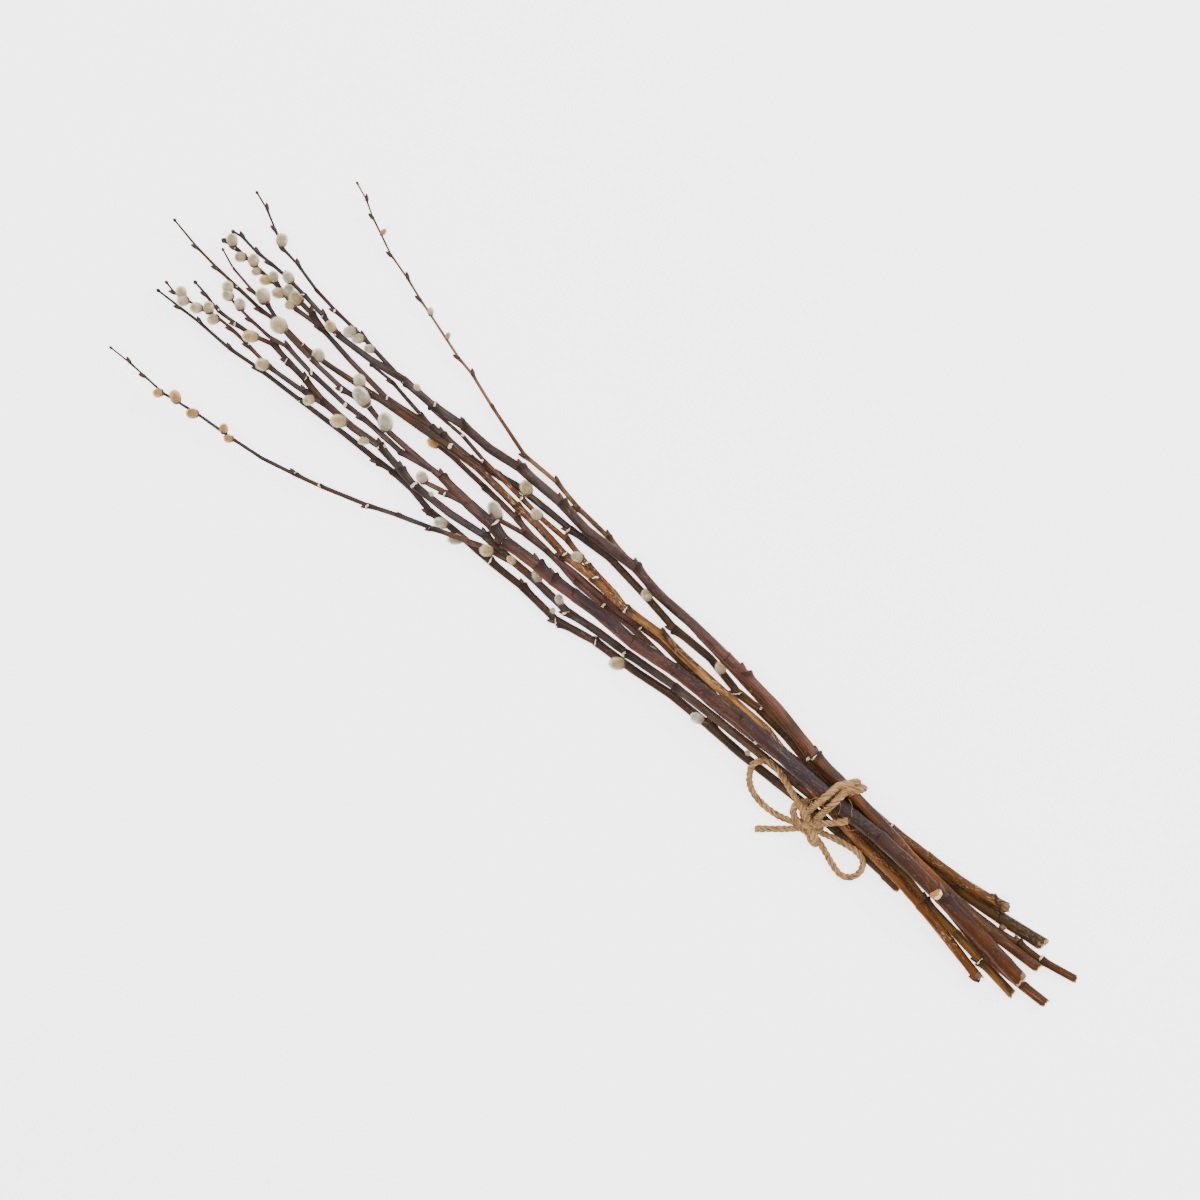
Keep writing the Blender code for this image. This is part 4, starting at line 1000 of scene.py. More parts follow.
def bark_surface(name, stretches, second, bloom_and_highlight, gloss, flaky):
    """Willow bark: colours along the rod, a second colour in long patches, a waxy bloom kept to the
    upper side and so partly a painted highlight, wrinkles, pale flakes, pores, painted shade on the
    flanks and underside, dark shoulders, and torn pale scars at the nodes."""
    surface, tree, shader = new_surface(name, gloss)
    shader.inputs["Specular IOR Level"].default_value = BARK_SHINE
    grain = carried(tree, "grain", "Vector")
    _, aside, upward = parts(tree, grain)
    gap, facing, scar_face, scar_width, wood, station, calm, ring = (
        carried(tree, label)
        for label in ("node_gap", "facing", "scar_face", "scar_width", "cut", "station", "calm", "ring"))

    def grained(stretch, detail=2.0):
        return noise(tree, vector_math(tree, "MULTIPLY", grain, stretch), 1.0, detail)

    def both(first, second):
        return times(tree, first, second)

    def unless(value):
        return minus(tree, 1.0, value)

    def shade(colour, factor, share, toward):
        return mix(tree, times(tree, factor, share), colour, toward)

    drift = scaled(tree, grained((24, 24, 24)), 0.3, -0.15)
    along = ramp(tree, plus(tree, station, drift), STRETCHES, stretches)
    patches = scaled(tree, aside, -70.0, grained((30, 90, 90), 3.0))
    patches = scaled(tree, grained((15, 15, 15)), 1.3, patches)
    colour = shade(along, step(tree, patches, 1.08, 1.30), 0.85, second)
    # Wax bloom on the upper side of the rod only: partly the bark's own grey bloom, partly a painted
    # highlight where light falls on top.
    wax_and_top_highlight = scaled(tree, upward, 90.0, grained((38, 150, 150), 3.0))
    waxed_and_top_highlight = both(step(tree, wax_and_top_highlight, 0.50, 0.80), step(tree, station, 0.10, 0.30))
    colour = shade(colour, waxed_and_top_highlight, bloom_and_highlight, WAX_AND_HIGHLIGHT_GREY)
    blotches = step(tree, grained((70, 260, 260), 4.0), 0.50, 0.66)
    colour = shade(colour, blotches, 0.55, BLOTCH_BROWN)
    streaks = step(tree, grained((45, 1000, 1000), 3.0), 0.45, 0.75)
    colour = shade(colour, streaks, 0.50, STREAK_BROWN)
    glints = step(tree, grained((60, 700, 700), 3.0), 0.58, 0.76)
    colour = shade(colour, glints, 0.5, mix(tree, 0.35, along, GLINT_TAN))

    flakes = both(step(tree, grained((420, 2100, 2100)), 0.57, 0.66),
                  step(tree, grained((60, 240, 240)), 0.44, 0.60))
    flakes = both(flakes, unless(step(tree, station, 0.58, 0.76)))
    colour = shade(colour, flakes, flaky, FLAKE_TAN)
    pores = put(tree, "ShaderNodeTexVoronoi", {
        "Vector": vector_math(tree, "MULTIPLY", grain, (420, 800, 800)), "Scale": 1.0,
    }).outputs["Distance"]
    dots = both(unless(step(tree, pores, 0.10, 0.24)), step(tree, grained((140, 140, 140)), 0.57, 0.65))
    colour = shade(colour, dots, 0.34, PORE_TAN)
    # Painted shade: the flanks and underside of the rod are darkened, as if they lay in the rod's own shade.
    painted_underside_shade = unless(step(tree, upward, -2.0 * MM, 1.5 * MM))
    colour = shade(colour, painted_underside_shade, 0.5, PAINTED_UNDERSIDE_SHADE)

    under = step(tree, gap, -6.5 * MM, -0.2 * MM)
    shoulder = both(under, unless(step(tree, gap, 0.3 * MM, 1.6 * MM)))
    shoulder = both(shoulder, step(tree, facing, -0.7, 0.5))
    shoulder = both(shoulder, both(unless(step(tree, calm, 0.0, 0.4)), ring))
    colour = shade(colour, shoulder, 0.72, SHOULDER_BROWN)

    torn = grained((760, 760, 760), 4.0)
    ragged = scaled(tree, torn, 1.8 * MM, -1.2 * MM)
    off = number_math(tree, "ABSOLUTE", plus(tree, gap, ragged))
    face = scaled(tree, torn, 1.2, minus(tree, scar_face, 0.6))
    crescent = both(scar_width, step(tree, face, -0.1, 0.6))
    depth = scaled(tree, calm, -3.0 * MM, minus(tree, crescent, off))
    rim = both(step(tree, depth, -0.7 * MM, -0.2 * MM), step(tree, face, -0.3, 0.0))
    colour = shade(colour, rim, 0.8, RIM_BROWN)
    bare = both(step(tree, depth, -0.06 * MM, 0.10 * MM), step(tree, face, -0.05, 0.12))
    fleshy = step(tree, grained((1300, 1300, 1300), 3.0), 0.40, 0.62)
    colour = mix(tree, bare, colour, mix(tree, fleshy, *BARE_WOOD))
    rings = step(tree, noise(tree, grain, 1400.0, 4.0), 0.35, 0.65)
    colour = mix(tree, step(tree, wood, 0.3, 0.7), colour, mix(tree, rings, *CUT_WOOD))

    height = plus(tree, grained((70, 900, 900), 3.0), times(tree, dots, 0.5))
    height = minus(tree, height, times(tree, rim, 0.8))
    paint(tree, shader, colour, scaled(tree, flakes, flaky, height), 0.6, 0.14 * MM)
    rough = scaled(tree, streaks, 0.25, gloss)
    rough = number_math(tree, "MAXIMUM", rough, times(tree, bare, 0.85))
    rough = scaled(tree, grained((60, 240, 240)), 0.2, minus(tree, rough, 0.1))
    tree.links.new(rough, shader.inputs["Roughness"])
    return surface


for number, (name, branch) in enumerate(BRANCHES.items()):
    surface = bark_surface(name + "_bark", *BARKS[name])
    lines = []
    for index, stem in enumerate(branch["stems"]):
        lines.append(stem_line(branch, stem, 10 * number + index, CUT_SLANT[number]))
    rods = name + "_rods"
    grown(rods, line_mesh(rods, lines), bark_tree(rods, surface), name)

# The buds: narrow and pointed, each closed in one hard brown scale. They grow on a side of the rod,
# over a shoulder, and lie close against it with their points to the tip.
BUD_FORM = ((0.0, 0.95), (0.2, 1.0), (0.42, 0.98), (0.64, 0.80), (0.82, 0.54), (0.94, 0.30), (1.0, 0.0))
BUD_FACETS = {"Segments": 12, "Rings": 10}
BUD_HUG = 0.4
BUD_REACH = 0.95
BUD_FULLNESS = 1.3
SCALE_BROWNS = ((0.024, 0.013, 0.010), (0.070, 0.030, 0.020))
SCALE_SHINE = 0.2


def turned_form(tree, given, profile):
    """A closed round form of length 1 along Z, its radius given by a curve from root to tip."""
    ball = get(tree, "GeometryNodeMeshUVSphere", {
        "Segments": given["Segments"], "Rings": given["Rings"], "Radius": 1.0,
    })
    x, y, z = parts(tree, get(tree, "GeometryNodeInputPosition"))
    reach = scaled(tree, z, 0.5, 0.5)
    around = vector_math(tree, "NORMALIZE", vector_of(tree, x, y))
    around = vector_math(tree, "SCALE", around, shaped(tree, reach, profile))
    place = vector_math(tree, "ADD", around, vector_of(tree, z=reach))
    form = keep(tree, ball, "reach", reach)
    return get(tree, "GeometryNodeSetPosition", {"Geometry": form, "Position": place})


def aimed(tree, points, form):
    """The form at each point, turned to its aim and drawn out to its size."""
    turned = get(tree, "FunctionNodeAlignRotationToVector", {"Vector": read_vector(tree, "aim")}, axis="Z")
    return get(tree, "GeometryNodeInstanceOnPoints", {
        "Points": points, "Instance": form, "Rotation": turned, "Scale": read_vector(tree, "size"),
    })


def point_mesh(name, rows):
    """A mesh of loose points. Each row has a place, an aim, a size and a warmth."""
    places, aims, sizes, warmths = zip(*rows)
    mesh = bpy.data.meshes.new(name)
    mesh.from_pydata(to_metres(places).tolist(), [], [])
    for key, values in (("aim", aims), ("size", sizes), ("warmth", warmths)):
        carry(mesh, key, values)
    return mesh


scale_skin, tree, shader = new_surface("bud_scale", 0.40)
shader.inputs["Specular IOR Level"].default_value = SCALE_SHINE
flecks = own_noise(tree, 1800.0, 3.0)
tipward = step(tree, scaled(tree, flecks, 0.5, carried(tree, "reach")), 0.4, 1.2)
paint(tree, shader, mix(tree, tipward, *SCALE_BROWNS), flecks, 0.4, 0.1 * MM)


def scale_tree(name, facets, profile):
    """A tree that puts a hard brown scale of one form at each point."""
    tree, given = start_tree(name, facets)
    end_tree(tree, aimed(tree, given["Geometry"], turned_form(tree, given, profile)), scale_skin)
    return tree


bud_tree = scale_tree("buds", BUD_FACETS, BUD_FORM)
for name, branch in BRANCHES.items():
    rows = []
    branch["axis"] = []
    for stem in branch["stems"]:
        points = []
        for x, y, z, radius, growth in stem_points(branch, stem):
            points.append((x, y, z + float(lift_value(branch["lift"], x)), radius, growth))
        branch["axis"].extend(points)
        for index, (x, y, z, radius, growth) in enumerate(points):
            if growth in ("L", "R"):
                heading = heading_at(points, index)
                root, point = bud_line(Vector((x, y, z)), heading, radius, growth)
                outward = (point - root).cross(heading).cross(heading)
                point = root + (point - root) * BUD_REACH + outward.normalized() * BUD_HUG
                width = bud_radius(radius) * BUD_FULLNESS * MM
                rows.append((root, point - root, (width, width, (point - root).length * MM), 0.0))
    grown(name + "_buds", point_mesh(name + "_buds", rows), bud_tree, name)

# The knobs: where a twig was torn or cut off near the thick end, a round lump of bark stays, with
# torn pale wood on its top. Each is (station, offset, height over the axis, radius, length, paleness).
KNOBS = {
    "branch_09": ((85.7, -6.6, 3.0, 3.5, 5.6, 1.0), (20.5, -2.6, 2.0, 2.6, 5.2, 0.35)),
    "branch_04": ((45.1, -15.0, 0.8, 2.5, 6.2, 0.25), (24.0, -22.6, 2.0, 2.6, 4.4, 0.1)),
    "branch_07": ((51.5, -25.6, 2.0, 2.7, 3.9, 0.2),),
    "branch_06": ((38.4, 12.0, 2.0, 2.2, 3.9, 0.1),),
}
KNOB_FORM = ((0.0, 0.85), (0.3, 1.0), (0.52, 1.0), (0.70, 0.90), (0.85, 0.70), (0.95, 0.44), (1.0, 0.0))
KNOB_FACETS = {"Segments": 28, "Rings": 20}
LUMPS_PER_METRE = 420.0
KNOB_BARK = ((0.035, 0.018, 0.010), (0.11, 0.045, 0.016))
KNOB_ORANGE = ((0.46, 0.18, 0.03), (0.27, 0.09, 0.014))
KNOB_TORN = ((0.88, 0.80, 0.64), (0.52, 0.27, 0.10))

knob_wood, tree, shader = new_surface("knob_wood", 0.6)
reach, paleness, butt_side = (carried(tree, label) for label in ("reach", "warmth", "butt_side"))
lumps = own_noise(tree, LUMPS_PER_METRE, 4.0)
shreds = own_noise(tree, 1500.0, 3.0)
colour = mix(tree, step(tree, shreds, 0.36, 0.64), *KNOB_BARK)
orange = times(tree, step(tree, reach, 0.45, 0.75), paleness)
colour = mix(tree, orange, colour, mix(tree, step(tree, shreds, 0.35, 0.65), *KNOB_ORANGE))
torn = scaled(tree, paleness, 0.7, scaled(tree, lumps, 1.4, butt_side))
torn = times(tree, step(tree, torn, 1.50, 1.66), step(tree, reach, 0.40, 0.60))
colour = mix(tree, torn, colour, mix(tree, step(tree, shreds, 0.4, 0.6), *KNOB_TORN))
paint(tree, shader, colour, shreds, 0.8, 0.3 * MM)

knob_tree, given = start_tree("knobs", {**KNOB_FACETS, "Lumps": 2.2 * MM})
place = get(knob_tree, "GeometryNodeInputPosition")
butt_side = times(knob_tree, parts(knob_tree, place)[0], -1.0)
knob = keep(knob_tree, turned_form(knob_tree, given, KNOB_FORM), "butt_side", butt_side)
lumpy = get(knob_tree, "GeometryNodeRealizeInstances", {0: aimed(knob_tree, given["Geometry"], knob)})
lumps = minus(knob_tree, noise(knob_tree, place, LUMPS_PER_METRE, 3.0), 0.55)
lumps = times(knob_tree, lumps, given["Lumps"])
offset = vector_math(knob_tree, "SCALE", get(knob_tree, "GeometryNodeInputNormal"), lumps)
lumpy = get(knob_tree, "GeometryNodeSetPosition", {"Geometry": lumpy, "Offset": offset})
end_tree(knob_tree, lumpy, knob_wood)

for name, knobs in KNOBS.items():
    rows = []
    for x, y, height, radius, length, paleness in knobs:
        nearest = min(BRANCHES[name]["axis"], key=lambda point: math.hypot(point[0] - x, point[1] - y))
        root = Vector(nearest[:3])
        aim = (Vector((x, y, root.z + height)) - root).normalized()
        rows.append((root, aim, (radius * MM, radius * MM, length * MM), paleness))
    grown(name + "_knobs", point_mesh(name + "_knobs", rows), knob_tree, name)

# The catkins: soft eggs of silky hair, grey or cream with darker roots, that lean to the tip. Each
# one still sits in the lower part of its brown bud scale.
CATKIN_FORM = ((0.0, 0.42), (0.12, 0.74), (0.3, 0.94), (0.5, 1.0), (0.7, 0.93), (0.88, 0.66), (1.0, 0.0))
CATKIN_FACETS = {"Segments": 16, "Rings": 12}
EGG_LENGTH = 0.92
HAIR_REACH = 0.50
HAIR_SPREAD = 0.29
HAIR_OUT = 0.62
HAIR_AHEAD = 0.72
HAIR_STRAY = 0.24
HAIR_UNEVEN = (0.7, 1.2)
CUP_FORM = ((0.0, 0.35), (0.2, 0.75), (0.5, 0.95), (0.8, 1.0), (0.95, 0.8), (1.0, 0.0))
CUP_FACETS = {"Segments": 16, "Rings": 8}
CUP_BACK = 0.5
CUP_WIDTH = 0.98
CUP_LENGTH = 0.27
WARMTHS = (0.05, 0.38, 0.68, 1.0)
HAIR_ROOTS = ((0.34, 0.33, 0.22), (0.42, 0.34, 0.17), (0.38, 0.22, 0.045), (0.42, 0.185, 0.012))
HAIR_TIPS = ((0.95, 0.91, 0.78), (0.91, 0.81, 0.60), (0.88, 0.70, 0.38), (0.85, 0.56, 0.14))
FOOT_BROWN = (0.27, 0.16, 0.06)

fur, tree, shader = new_surface("catkin_fur", 0.75)
reach, warmth, crown_painted_rim, tipward = (carried(tree, label) for label in ("reach", "warmth", "crown_painted_rim", "tipward"))
clumps = own_noise(tree, 900.0, 2.0)
broad = own_noise(tree, 230.0, 1.0)
drawn = plus(tree, reach, scaled(tree, clumps, 0.5, -0.25))
# Painted light: hair on the top of each catkin turns darker in patches while its sides stay pale, partly
# darker scale tips and partly a painted bright rim of light through the hair.
patches_and_painted_rim = scaled(tree, clumps, 0.5, scaled(tree, broad, 1.6, crown_painted_rim))
drawn = minus(tree, drawn, times(tree, step(tree, patches_and_painted_rim, 1.50, 2.10), 0.72))
foot = minus(tree, 1.0, step(tree, scaled(tree, broad, 0.5, tipward), 0.42, 0.98))
ends = (ramp(tree, warmth, WARMTHS, colours) for colours in (HAIR_ROOTS, HAIR_TIPS))
colour = mix(tree, step(tree, drawn, -0.1, 0.5), *ends)
paint(tree, shader, mix(tree, times(tree, foot, 0.75), colour, FOOT_BROWN))
shader.inputs["Sheen Weight"].default_value = 0.35
shader.inputs["Sheen Roughness"].default_value = 0.5


def upness(tree, direction):
    """How far a direction points up, from -1 to 1."""
    return parts(tree, direction)[2]


def sown_on(tree, mesh, density, seed, where=True):
    """Random points on a mesh, with the normal and the rotation at each."""
    return put(tree, "GeometryNodeDistributePointsOnFaces", {
        "Mesh": mesh, "Density": density, "Seed": seed, "Selection": where,
    }, distribute_method="RANDOM").outputs


def varied(tree, least, most, seed):
    """A random number for each point."""
    limits = {2: least, 3: most, "Seed": seed}
    return put(tree, "FunctionNodeRandomValue", limits, data_type="FLOAT").outputs[1]


def joined(tree, geometries):
    """Several geometries as one, in the order given."""
    made = put(tree, "GeometryNodeJoinGeometry")
    for geometry in geometries:
        tree.links.new(geometry, made.inputs[0])
    return made.outputs[0]


fur_tree, given = start_tree("catkin_fur", {
    **CATKIN_FACETS, "Hairs per square metre": 19.0e6, "Hair width": 0.055 * MM, "Seed": 5,
})
tree = fur_tree
egg = turned_form(tree, given, CATKIN_FORM)
egg = keep(tree, egg, "tipward", read(tree, "reach"))
egg = keep(tree, egg, "reach", 0.0)
eggs = get(tree, "GeometryNodeRealizeInstances", {0: aimed(tree, given["Geometry"], egg)})
# How far each spot faces up, kept for the darker top and the painted bright rim of the fur.
eggs = keep(tree, eggs, "crown_painted_rim", upness(tree, get(tree, "GeometryNodeInputNormal")))
sown = sown_on(tree, eggs, given["Hairs per square metre"], given["Seed"])
sown_points = keep(tree, sown["Points"], "crown_painted_rim", upness(tree, sown["Normal"]))
stray = {0: (-1.0, -1.0, -1.0), 1: (1.0, 1.0, 1.0), "Seed": given["Seed"]}
stray = get(tree, "FunctionNodeRandomValue", stray, data_type="FLOAT_VECTOR")
ahead = vector_math(tree, "NORMALIZE", read_vector(tree, "aim"))
out, ahead, stray = (
    vector_math(tree, "SCALE", way, share)
    for way, share in ((sown["Normal"], HAIR_OUT), (ahead, HAIR_AHEAD), (stray, HAIR_STRAY)))
lean = vector_math(tree, "ADD", out, vector_math(tree, "ADD", ahead, stray))
hair = get(tree, "GeometryNodeMeshCone", {
    "Vertices": 3, "Side Segments": 1, "Radius Top": 0.0, "Radius Bottom": 1.0, "Depth": 1.0,
}, fill_type="NONE")
height = parts(tree, get(tree, "GeometryNodeInputPosition"))[2]
hair = keep(tree, hair, "reach", scaled(tree, height, 0.75, 0.25))
length = times(tree, parts(tree, read_vector(tree, "size"))[0], HAIR_REACH)
length = times(tree, length, varied(tree, *HAIR_UNEVEN, given["Seed"]))
hairs = get(tree, "GeometryNodeInstanceOnPoints", {
    "Points": sown_points, "Instance": hair,
    "Rotation": get(tree, "FunctionNodeAlignRotationToVector", {"Vector": lean}, axis="Z"),
    "Scale": vector_of(tree, given["Hair width"], given["Hair width"], length),
})
end_tree(tree, joined(tree, (eggs, hairs)), fur)

cup_tree = scale_tree("catkin_scales", CUP_FACETS, CUP_FORM)
for name, branch in BRANCHES.items():
    rows = []
    cups = []
    for catkin in branch["catkins"]:
        root, centre = catkin_line(branch["axis"], catkin)
        along = (centre - root).normalized()
        length, width = catkin[2] * MM, catkin[3] * MM
        core = 0.5 * width / (1.0 + HAIR_SPREAD)
        cup = core * CUP_WIDTH
        start = centre - along * 0.5 * catkin[2]
        rows.append((start, along, (core, core, length * EGG_LENGTH), catkin[4]))
        cups.append((start - along * CUP_BACK, along, (cup, cup, length * CUP_LENGTH), 0.0))
    grown(name + "_catkins", point_mesh(name + "_catkins", rows), fur_tree, name)
    grown(name + "_scales", point_mesh(name + "_scales", cups), cup_tree, name)

# The twine: three-ply jute, soft and hairy. It goes twice around the bunch, is knotted on the left
# side, and its two free parts each make a loop and end in a short cut tail.
TWINE_SLOPE = 0.5
TWINE_EASE = 3
BOW_RUNS = {
    "upper_loop": (
        (166, 9.6), (171, 6.2), (177, 3.6), (185, 1.0), (194, -1.8), (201, -2.6), (206.5, 0.2),
        (208.2, 5.0), (205.8, 10.0), (202, 14.0), (196, 16.6), (188, 17.6), (179.5, 16.8),
        (172, 14.4), (166, 12.0),
    ),
    "lower_loop": (
        (159, 12.0), (153.5, 13.0), (146, 15.4), (138, 18.2), (131.5, 19.2), (126.6, 16.4),
        (125, 11.2), (127, 6.4), (132, 4.0), (139, 4.4), (146.5, 6.0), (153, 7.8), (159, 9.4),
    ),
    "left_tail": ((164, 12.0), (168, 16.4), (174, 22.0), (184, 30.4)),
    "right_tail": ((163, 9.6), (159.5, 5.4), (155, 0.8), (149.2, -5.6)),
}
TAIL_PLACES = (0.0, 1.5, 3.0, 6.0)
TAIL_GIRTHS = (1.05, 1.09, 1.06, 1.0)
GIRTH_WAVE = 0.03
GIRTH_PACE = 0.55
KNOT_LIFT = 1.5
KNOT_WRAPS = (
    (1.25, ((172.5, 2.0, 0.5), (169.5, 5.2, 3.6), (164.0, 8.8, 4.6), (158.5, 11.8, 4.0), (153.8, 14.4, 0.9),
            (156.0, 15.2, -2.2), (162.0, 12.0, -3.6), (169.0, 7.0, -3.0))),
    (1.10, ((172.0, 0.6, 0.0), (175.2, 4.2, 1.6), (175.4, 8.4, 2.0), (172.2, 11.4, 2.0), (167.0, 12.4, 1.4),
            (163.4, 9.6, 0.0), (165.6, 5.0, -1.0), (169.0, 1.8, -1.0))),
    (1.10, ((160.0, 3.4, 1.2), (157.6, 6.4, 2.6), (158.0, 10.6, 2.6), (161.6, 13.4, 1.4), (166.0, 12.8, 0.0),
            (167.4, 8.8, -1.2), (165.0, 4.6, -1.2), (162.2, 2.8, 0.0))),
)
BAND_GIRTHS = (1.26, 1.09)
BAND_RIGHT = (-18.0, -9.0)
BAND_FLAT_UP_TO = 4.0
BAND_FULL_AFTER = 8.0
TURN_GAP = 0.27
TURN_SIDES = 24
TURN_POINTS = 80
SHOWN_OFFSETS = (-26.0, -21.0, -16.5, -0.5, 7.0)
SHOWN_TURNS = ((158.0, 161.8, 165.5, 168.2, 168.5), (153.0, 156.8, 160.4, 162.0, 162.5))
CURVE_PARTS = 8
RUN_STEP = 1.0
WRAP_STEP = 0.8
STRAY_GIRTH = 0.07
STRAYS = (
    ((161.5, -12.5, 30.2), (158.5, -10.5, 29.2), (156.5, -8.5, 28.0), (155.2, -5.0, 26.6)),
    ((156.5, -15.5, 28.4), (153.0, -14.0, 27.0), (150.6, -11.0, 26.8), (148.6, -9.0, 27.2)),
    ((172.0, -1.0, 24.0), (170.4, -4.4, 26.6), (167.0, -6.4, 28.8), (164.4, -8.0, 30.4)),
    ((150.0, -3.6, 22.0), (147.0, -2.0, 22.8), (144.0, -3.2, 22.6), (141.6, -6.0, 24.0)),
)
PLIES = 3
PLY_SIDES = 10
PLY_SHIFT = 0.37
PLY_SIDE = 3.1
TOP_SIDE = 0.25
FUZZ_BEND = ((0.0, 0.0, 0.0), (0.25, 0.0, 0.5), (0.9, 0.2, 0.75))
FUZZ_LENGTHS = (0.8 * MM, 1.55 * MM)
STRAND_STRETCH = (260.0, 9.0, 1.0)
JUTE_STRANDS = ((0.105, 0.047, 0.013), (0.41, 0.222, 0.080))
JUTE_CLOUDS = (0.50, 0.30, 0.125)
JUTE_FUZZ = (0.54, 0.34, 0.15)


def hull(points):
    """Outline of the points, anticlockwise, without those inside it."""
    ordered = sorted(set((round(a, 4), round(b, 4)) for a, b in points))

    def chain(sequence):
        kept = []
        for spot in sequence:
            while len(kept) > 1:
                ax, ay = kept[-1][0] - kept[-2][0], kept[-1][1] - kept[-2][1]
                bx, by = spot[0] - kept[-2][0], spot[1] - kept[-2][1]
                if ax * by - ay * bx > 0.0:
                    break
                kept.pop()
            kept.append(spot)
        return kept[:-1]

    return chain(ordered) + chain(ordered[::-1])


def even_points(points, count, closed=False):
    """Points an even distance apart along a line through the given ones."""
    line = np.array(list(points) + ([points[0]] if closed else []), dtype=float)
    steps = np.linalg.norm(np.diff(line, axis=0), axis=1)
    along = np.concatenate(([0.0], np.cumsum(steps)))
    wanted = np.linspace(0.0, along[-1], count + 1 if closed else count)
    if closed:
        wanted = wanted[:-1]
    return np.stack([np.interp(wanted, along, line[:, axis]) for axis in range(line.shape[1])], axis=1)


def turn_line(turn):
    """The way of one turn of twine around the branches: the tight outline of their section."""
    outline = []
    for x, y, z, radius in laid:
        if abs(x - np.interp(y, SHOWN_OFFSETS, SHOWN_TURNS[turn])) < TWINE_D:
            spread = np.interp(y, BAND_RIGHT, BAND_GIRTHS) - BAND_GIRTHS[1]
            reach = radius + TWINE_D / 2 * (1.0 + spread) + TURN_GAP
            for index in range(TURN_SIDES):
                angle = 2.0 * math.pi * index / TURN_SIDES
                outline.append((y + math.cos(angle) * reach, z + math.sin(angle) * reach))
    around = even_points(hull(outline), TURN_POINTS, closed=True)
    around[:, 1] = np.maximum(around[:, 1], TWINE_D / 2)
    return np.array([(np.interp(y, SHOWN_OFFSETS, SHOWN_TURNS[turn]), y, z) for y, z in around])


def smooth_line(points, step_size, closed=False):
    """Points along a smooth curve through the given ones."""
    given = [np.array(point, dtype=float) for point in points]
    if closed:
        given = [given[-1]] + given + given[:2]
    else:
        given = [2 * given[0] - given[1]] + given + [2 * given[-1] - given[-2]]
    line = []
    for index in range(1, len(given) - 2):
        p0, p1, p2, p3 = given[index - 1:index + 3]
        for part in np.linspace(0.0, 1.0, CURVE_PARTS, endpoint=False):
            line.append(0.5 * (2 * p1 + (p2 - p0) * part + (2 * p0 - 5 * p1 + 4 * p2 - p3) * part ** 2
                               + (3 * p1 - p0 - 3 * p2 + p3) * part ** 3))
    line.append(given[-2])
    steps = [float(np.linalg.norm(b - a)) for a, b in zip(line, line[1:])]
    return even_points(line, max(4, round(sum(steps) / step_size) + 1))


def draped(points, knot_height, both_ends):
    """A run of twine that lies over the branches and down on the table."""
    fine = smooth_line(points, RUN_STEP)
    need = np.full(len(fine), TWINE_D / 2)
    for index, (x, y) in enumerate(fine):
        reach = laid[:, 3] + TWINE_D / 2 + CLEARANCE
        over = reach ** 2 - (laid[:, 0] - x) ** 2 - (laid[:, 1] - y) ** 2
        top = laid[:, 2] + np.sqrt(np.maximum(over, 0.0))
        need[index] = max(need[index], float(np.where(over > 0.0, top, 0.0).max()))
    for end in (0, -1) if both_ends else (0,):
        need[end] = max(need[end], knot_height)
    return np.column_stack((fine, settled(need, TWINE_SLOPE, TWINE_EASE)))


jute, tree, shader = new_surface("jute", 0.85)
strands = vector_math(tree, "MULTIPLY", carried(tree, "fibre", "Vector"), STRAND_STRETCH)
strands = noise(tree, strands, 1.0, 4.0)
cloudy = step(tree, own_noise(tree, 120.0, 2.0), 0.4, 0.7)
colour = mix(tree, step(tree, strands, 0.36, 0.64), *JUTE_STRANDS)
colour = mix(tree, times(tree, cloudy, 0.35), colour, JUTE_CLOUDS)
colour = mix(tree, times(tree, carried(tree, "reach"), 0.6), colour, JUTE_FUZZ)
paint(tree, shader, colour, strands, 0.9, 0.3 * MM)

jute_tree, given = start_tree("three_ply_twine", {
    "Ply radius": 0.98 * MM, "Ply offset": 1.0 * MM, "Lay length": 10.5 * MM,
    "Fuzz per square metre": 1.1e6, "Fuzz width": 0.03, "Seed": 3,
})
tree = jute_tree
path = get(tree, "GeometryNodeMeshToCurve", {0: given["Geometry"]})
path = get(tree, "GeometryNodeResampleCurve", {"Curve": path, "Length": 0.6 * MM}, mode="LENGTH")
run = put(tree, "GeometryNodeSplineParameter").outputs["Length"]
path = keep(tree, path, "run", run)
normal = get(tree, "GeometryNodeInputNormal")
across = vector_math(tree, "CROSS_PRODUCT", get(tree, "GeometryNodeInputTangent"), normal)
turns = number_math(tree, "DIVIDE", times(tree, run, 2.0 * math.pi), given["Lay length"])
thickness, offset = (times(tree, given[label], read(tree, "girth")) for label in ("Ply radius", "Ply offset"))
ring = get(tree, "GeometryNodeCurvePrimitiveCircle", {"Resolution": PLY_SIDES, "Radius": 1.0})
ring = keep(tree, ring, "round", put(tree, "GeometryNodeSplineParameter").outputs["Factor"])
plies = []
for ply in range(PLIES):
    angle = plus(tree, turns, 2.0 * math.pi * ply / PLIES)
    out = vector_math(tree, "ADD",
                      vector_math(tree, "SCALE", normal, number_math(tree, "COSINE", angle)),
                      vector_math(tree, "SCALE", across, number_math(tree, "SINE", angle)))
    strand = get(tree, "GeometryNodeSetPosition", {
        "Geometry": path, "Offset": vector_math(tree, "SCALE", out, offset),
    })
    strand = get(tree, "GeometryNodeCurveToMesh", {
        "Curve": strand, "Profile Curve": ring, "Fill Caps": True, "Scale": thickness,
    })
    shifted = plus(tree, read(tree, "run"), PLY_SHIFT * ply)
    fibre = vector_of(tree, shifted, read(tree, "round"), PLY_SIDE * ply)
    plies.append(keep(tree, strand, "fibre", fibre, "FLOAT_VECTOR"))
rope = keep(tree, joined(tree, plies), "reach", 0.0)
upturned = upness(tree, get(tree, "GeometryNodeInputNormal"))
rope = keep(tree, rope, "upturned", upturned)
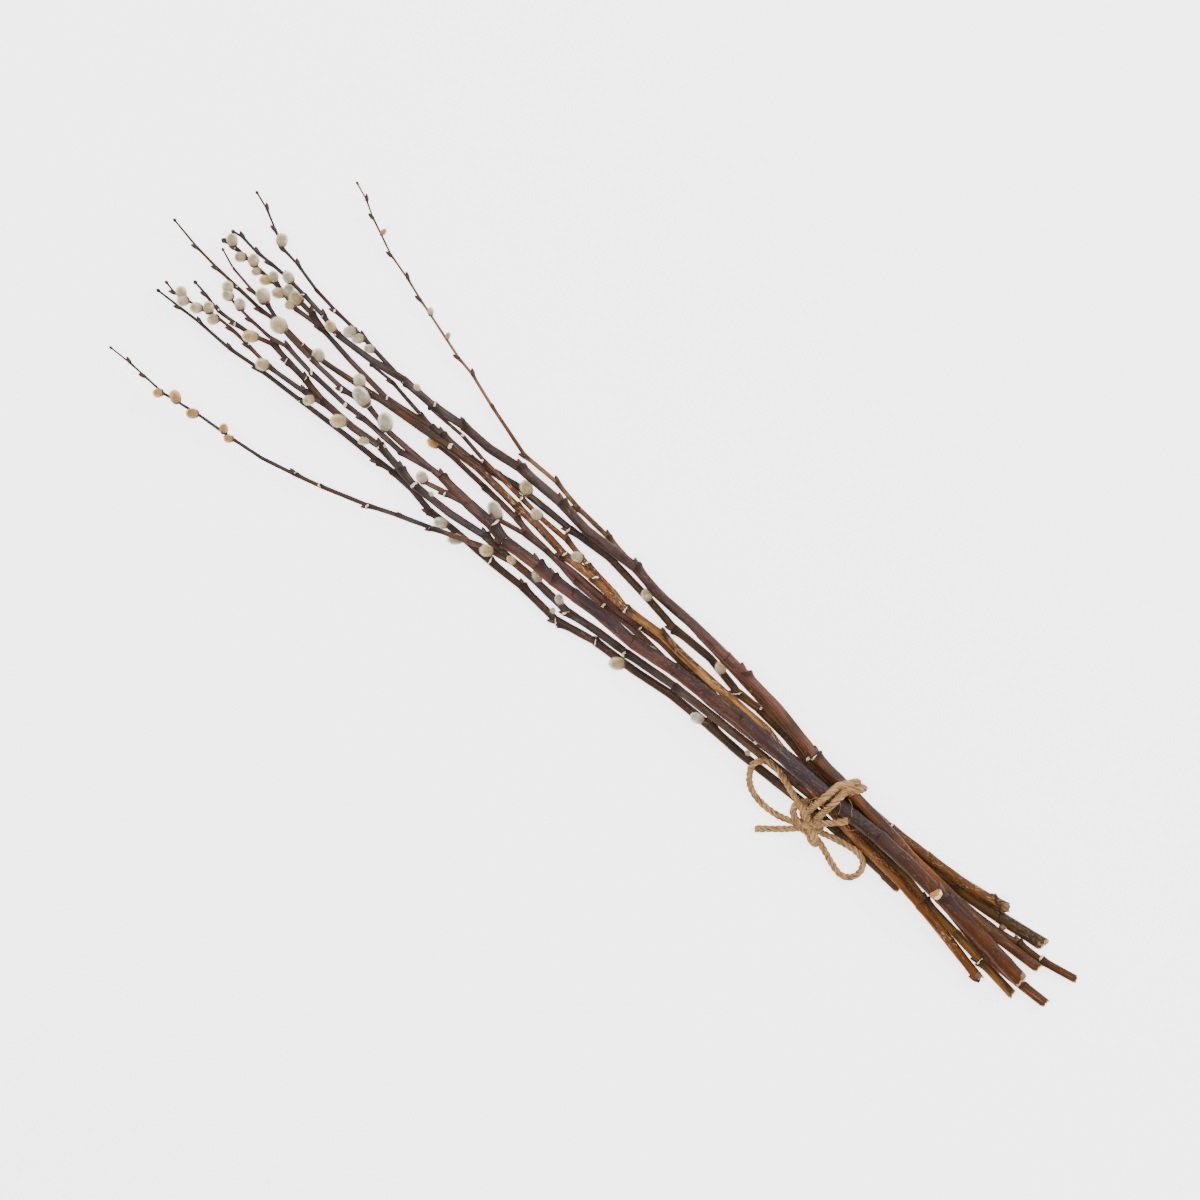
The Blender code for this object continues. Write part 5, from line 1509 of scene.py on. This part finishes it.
sown = sown_on(tree, rope, given["Fuzz per square metre"], given["Seed"],
               number_math(tree, "GREATER_THAN", upturned, TOP_SIDE))
bend = dict(zip(("Start", "Middle", "End"), FUZZ_BEND))
fibre = get(tree, "GeometryNodeCurveToMesh", {
    "Curve": get(tree, "GeometryNodeCurveQuadraticBezier", {"Resolution": 3, **bend}),
    "Profile Curve": get(tree, "GeometryNodeCurvePrimitiveCircle", {"Resolution": 3, "Radius": 1.0}),
    "Scale": given["Fuzz width"],
})
fibre = keep(tree, fibre, "reach", 1.0)
spin = varied(tree, -math.pi, math.pi, given["Seed"])
spin = get(tree, "FunctionNodeAxisAngleToRotation", {"Axis": (0.0, 0.0, 1.0), "Angle": spin})
length = varied(tree, *FUZZ_LENGTHS, given["Seed"])
length = times(tree, length, number_math(tree, "POWER", read(tree, "girth"), 2.0))
length = times(tree, length, scaled(tree, read(tree, "upturned"), -1.0, 1.0))
fuzz = get(tree, "GeometryNodeInstanceOnPoints", {
    "Points": sown["Points"], "Instance": fibre, "Scale": vector_of(tree, length, length, length),
    "Rotation": get(tree, "FunctionNodeRotateRotation", {
        "Rotation": sown["Rotation"], "Rotate By": spin,
    }, rotation_space="LOCAL"),
})
end_tree(tree, joined(tree, (rope, fuzz)), jute)


def twine_mesh(name, runs):
    """A mesh of twine lines. Each run has its points, its girth, and whether it closes on itself."""
    places = []
    edges = []
    girths = []
    for points, girth, closed in runs:
        start = len(places)
        places.extend(to_metres(points).tolist())
        girths.extend(np.broadcast_to(girth, len(points)).tolist())
        edges.extend((index, index + 1) for index in range(start, len(places) - 1))
        if closed:
            edges.append((len(places) - 1, start))
    mesh = bpy.data.meshes.new(name)
    mesh.from_pydata(places, edges, [])
    carry(mesh, "girth", girths)
    return mesh


turns_around = [turn_line(turn) for turn in range(len(TURNS))]
knot_height = float(turns_around[0][np.argmax(turns_around[0][:, 1])][2]) + KNOT_LIFT
band = []
for line in turns_around:
    full = np.interp(line[:, 1], BAND_RIGHT, BAND_GIRTHS)
    risen = np.clip((line[:, 2] - BAND_FLAT_UP_TO) / BAND_FULL_AFTER, 0.0, 1.0)
    band.append((line, 1.0 + (full - 1.0) * risen, True))
for girth, wrap in KNOT_WRAPS:
    lifted = [(x, y, knot_height + z) for x, y, z in wrap]
    band.append((smooth_line(lifted, WRAP_STEP, closed=True)[:-1], girth, True))
band.extend((smooth_line(stray, WRAP_STEP), STRAY_GIRTH, False) for stray in STRAYS)
grown("twine_band_and_knot", twine_mesh("twine_band_and_knot", band), jute_tree, "jute_twine")

for name, loop, tail in (("bow_upper", "upper_loop", "right_tail"), ("bow_lower", "lower_loop", "left_tail")):
    line = np.vstack((draped(BOW_RUNS[loop], knot_height, True), draped(BOW_RUNS[tail], knot_height, False)))
    line = smooth_line(even_points(line, len(line) // 3), RUN_STEP)
    left = np.arange(len(line))[::-1] * RUN_STEP
    girth = np.interp(left, TAIL_PLACES, TAIL_GIRTHS) + GIRTH_WAVE * np.sin(left * GIRTH_PACE)
    cord = grown(name, twine_mesh(name, [(line, girth, False)]), jute_tree, "jute_twine")
    route = to_metres(line)
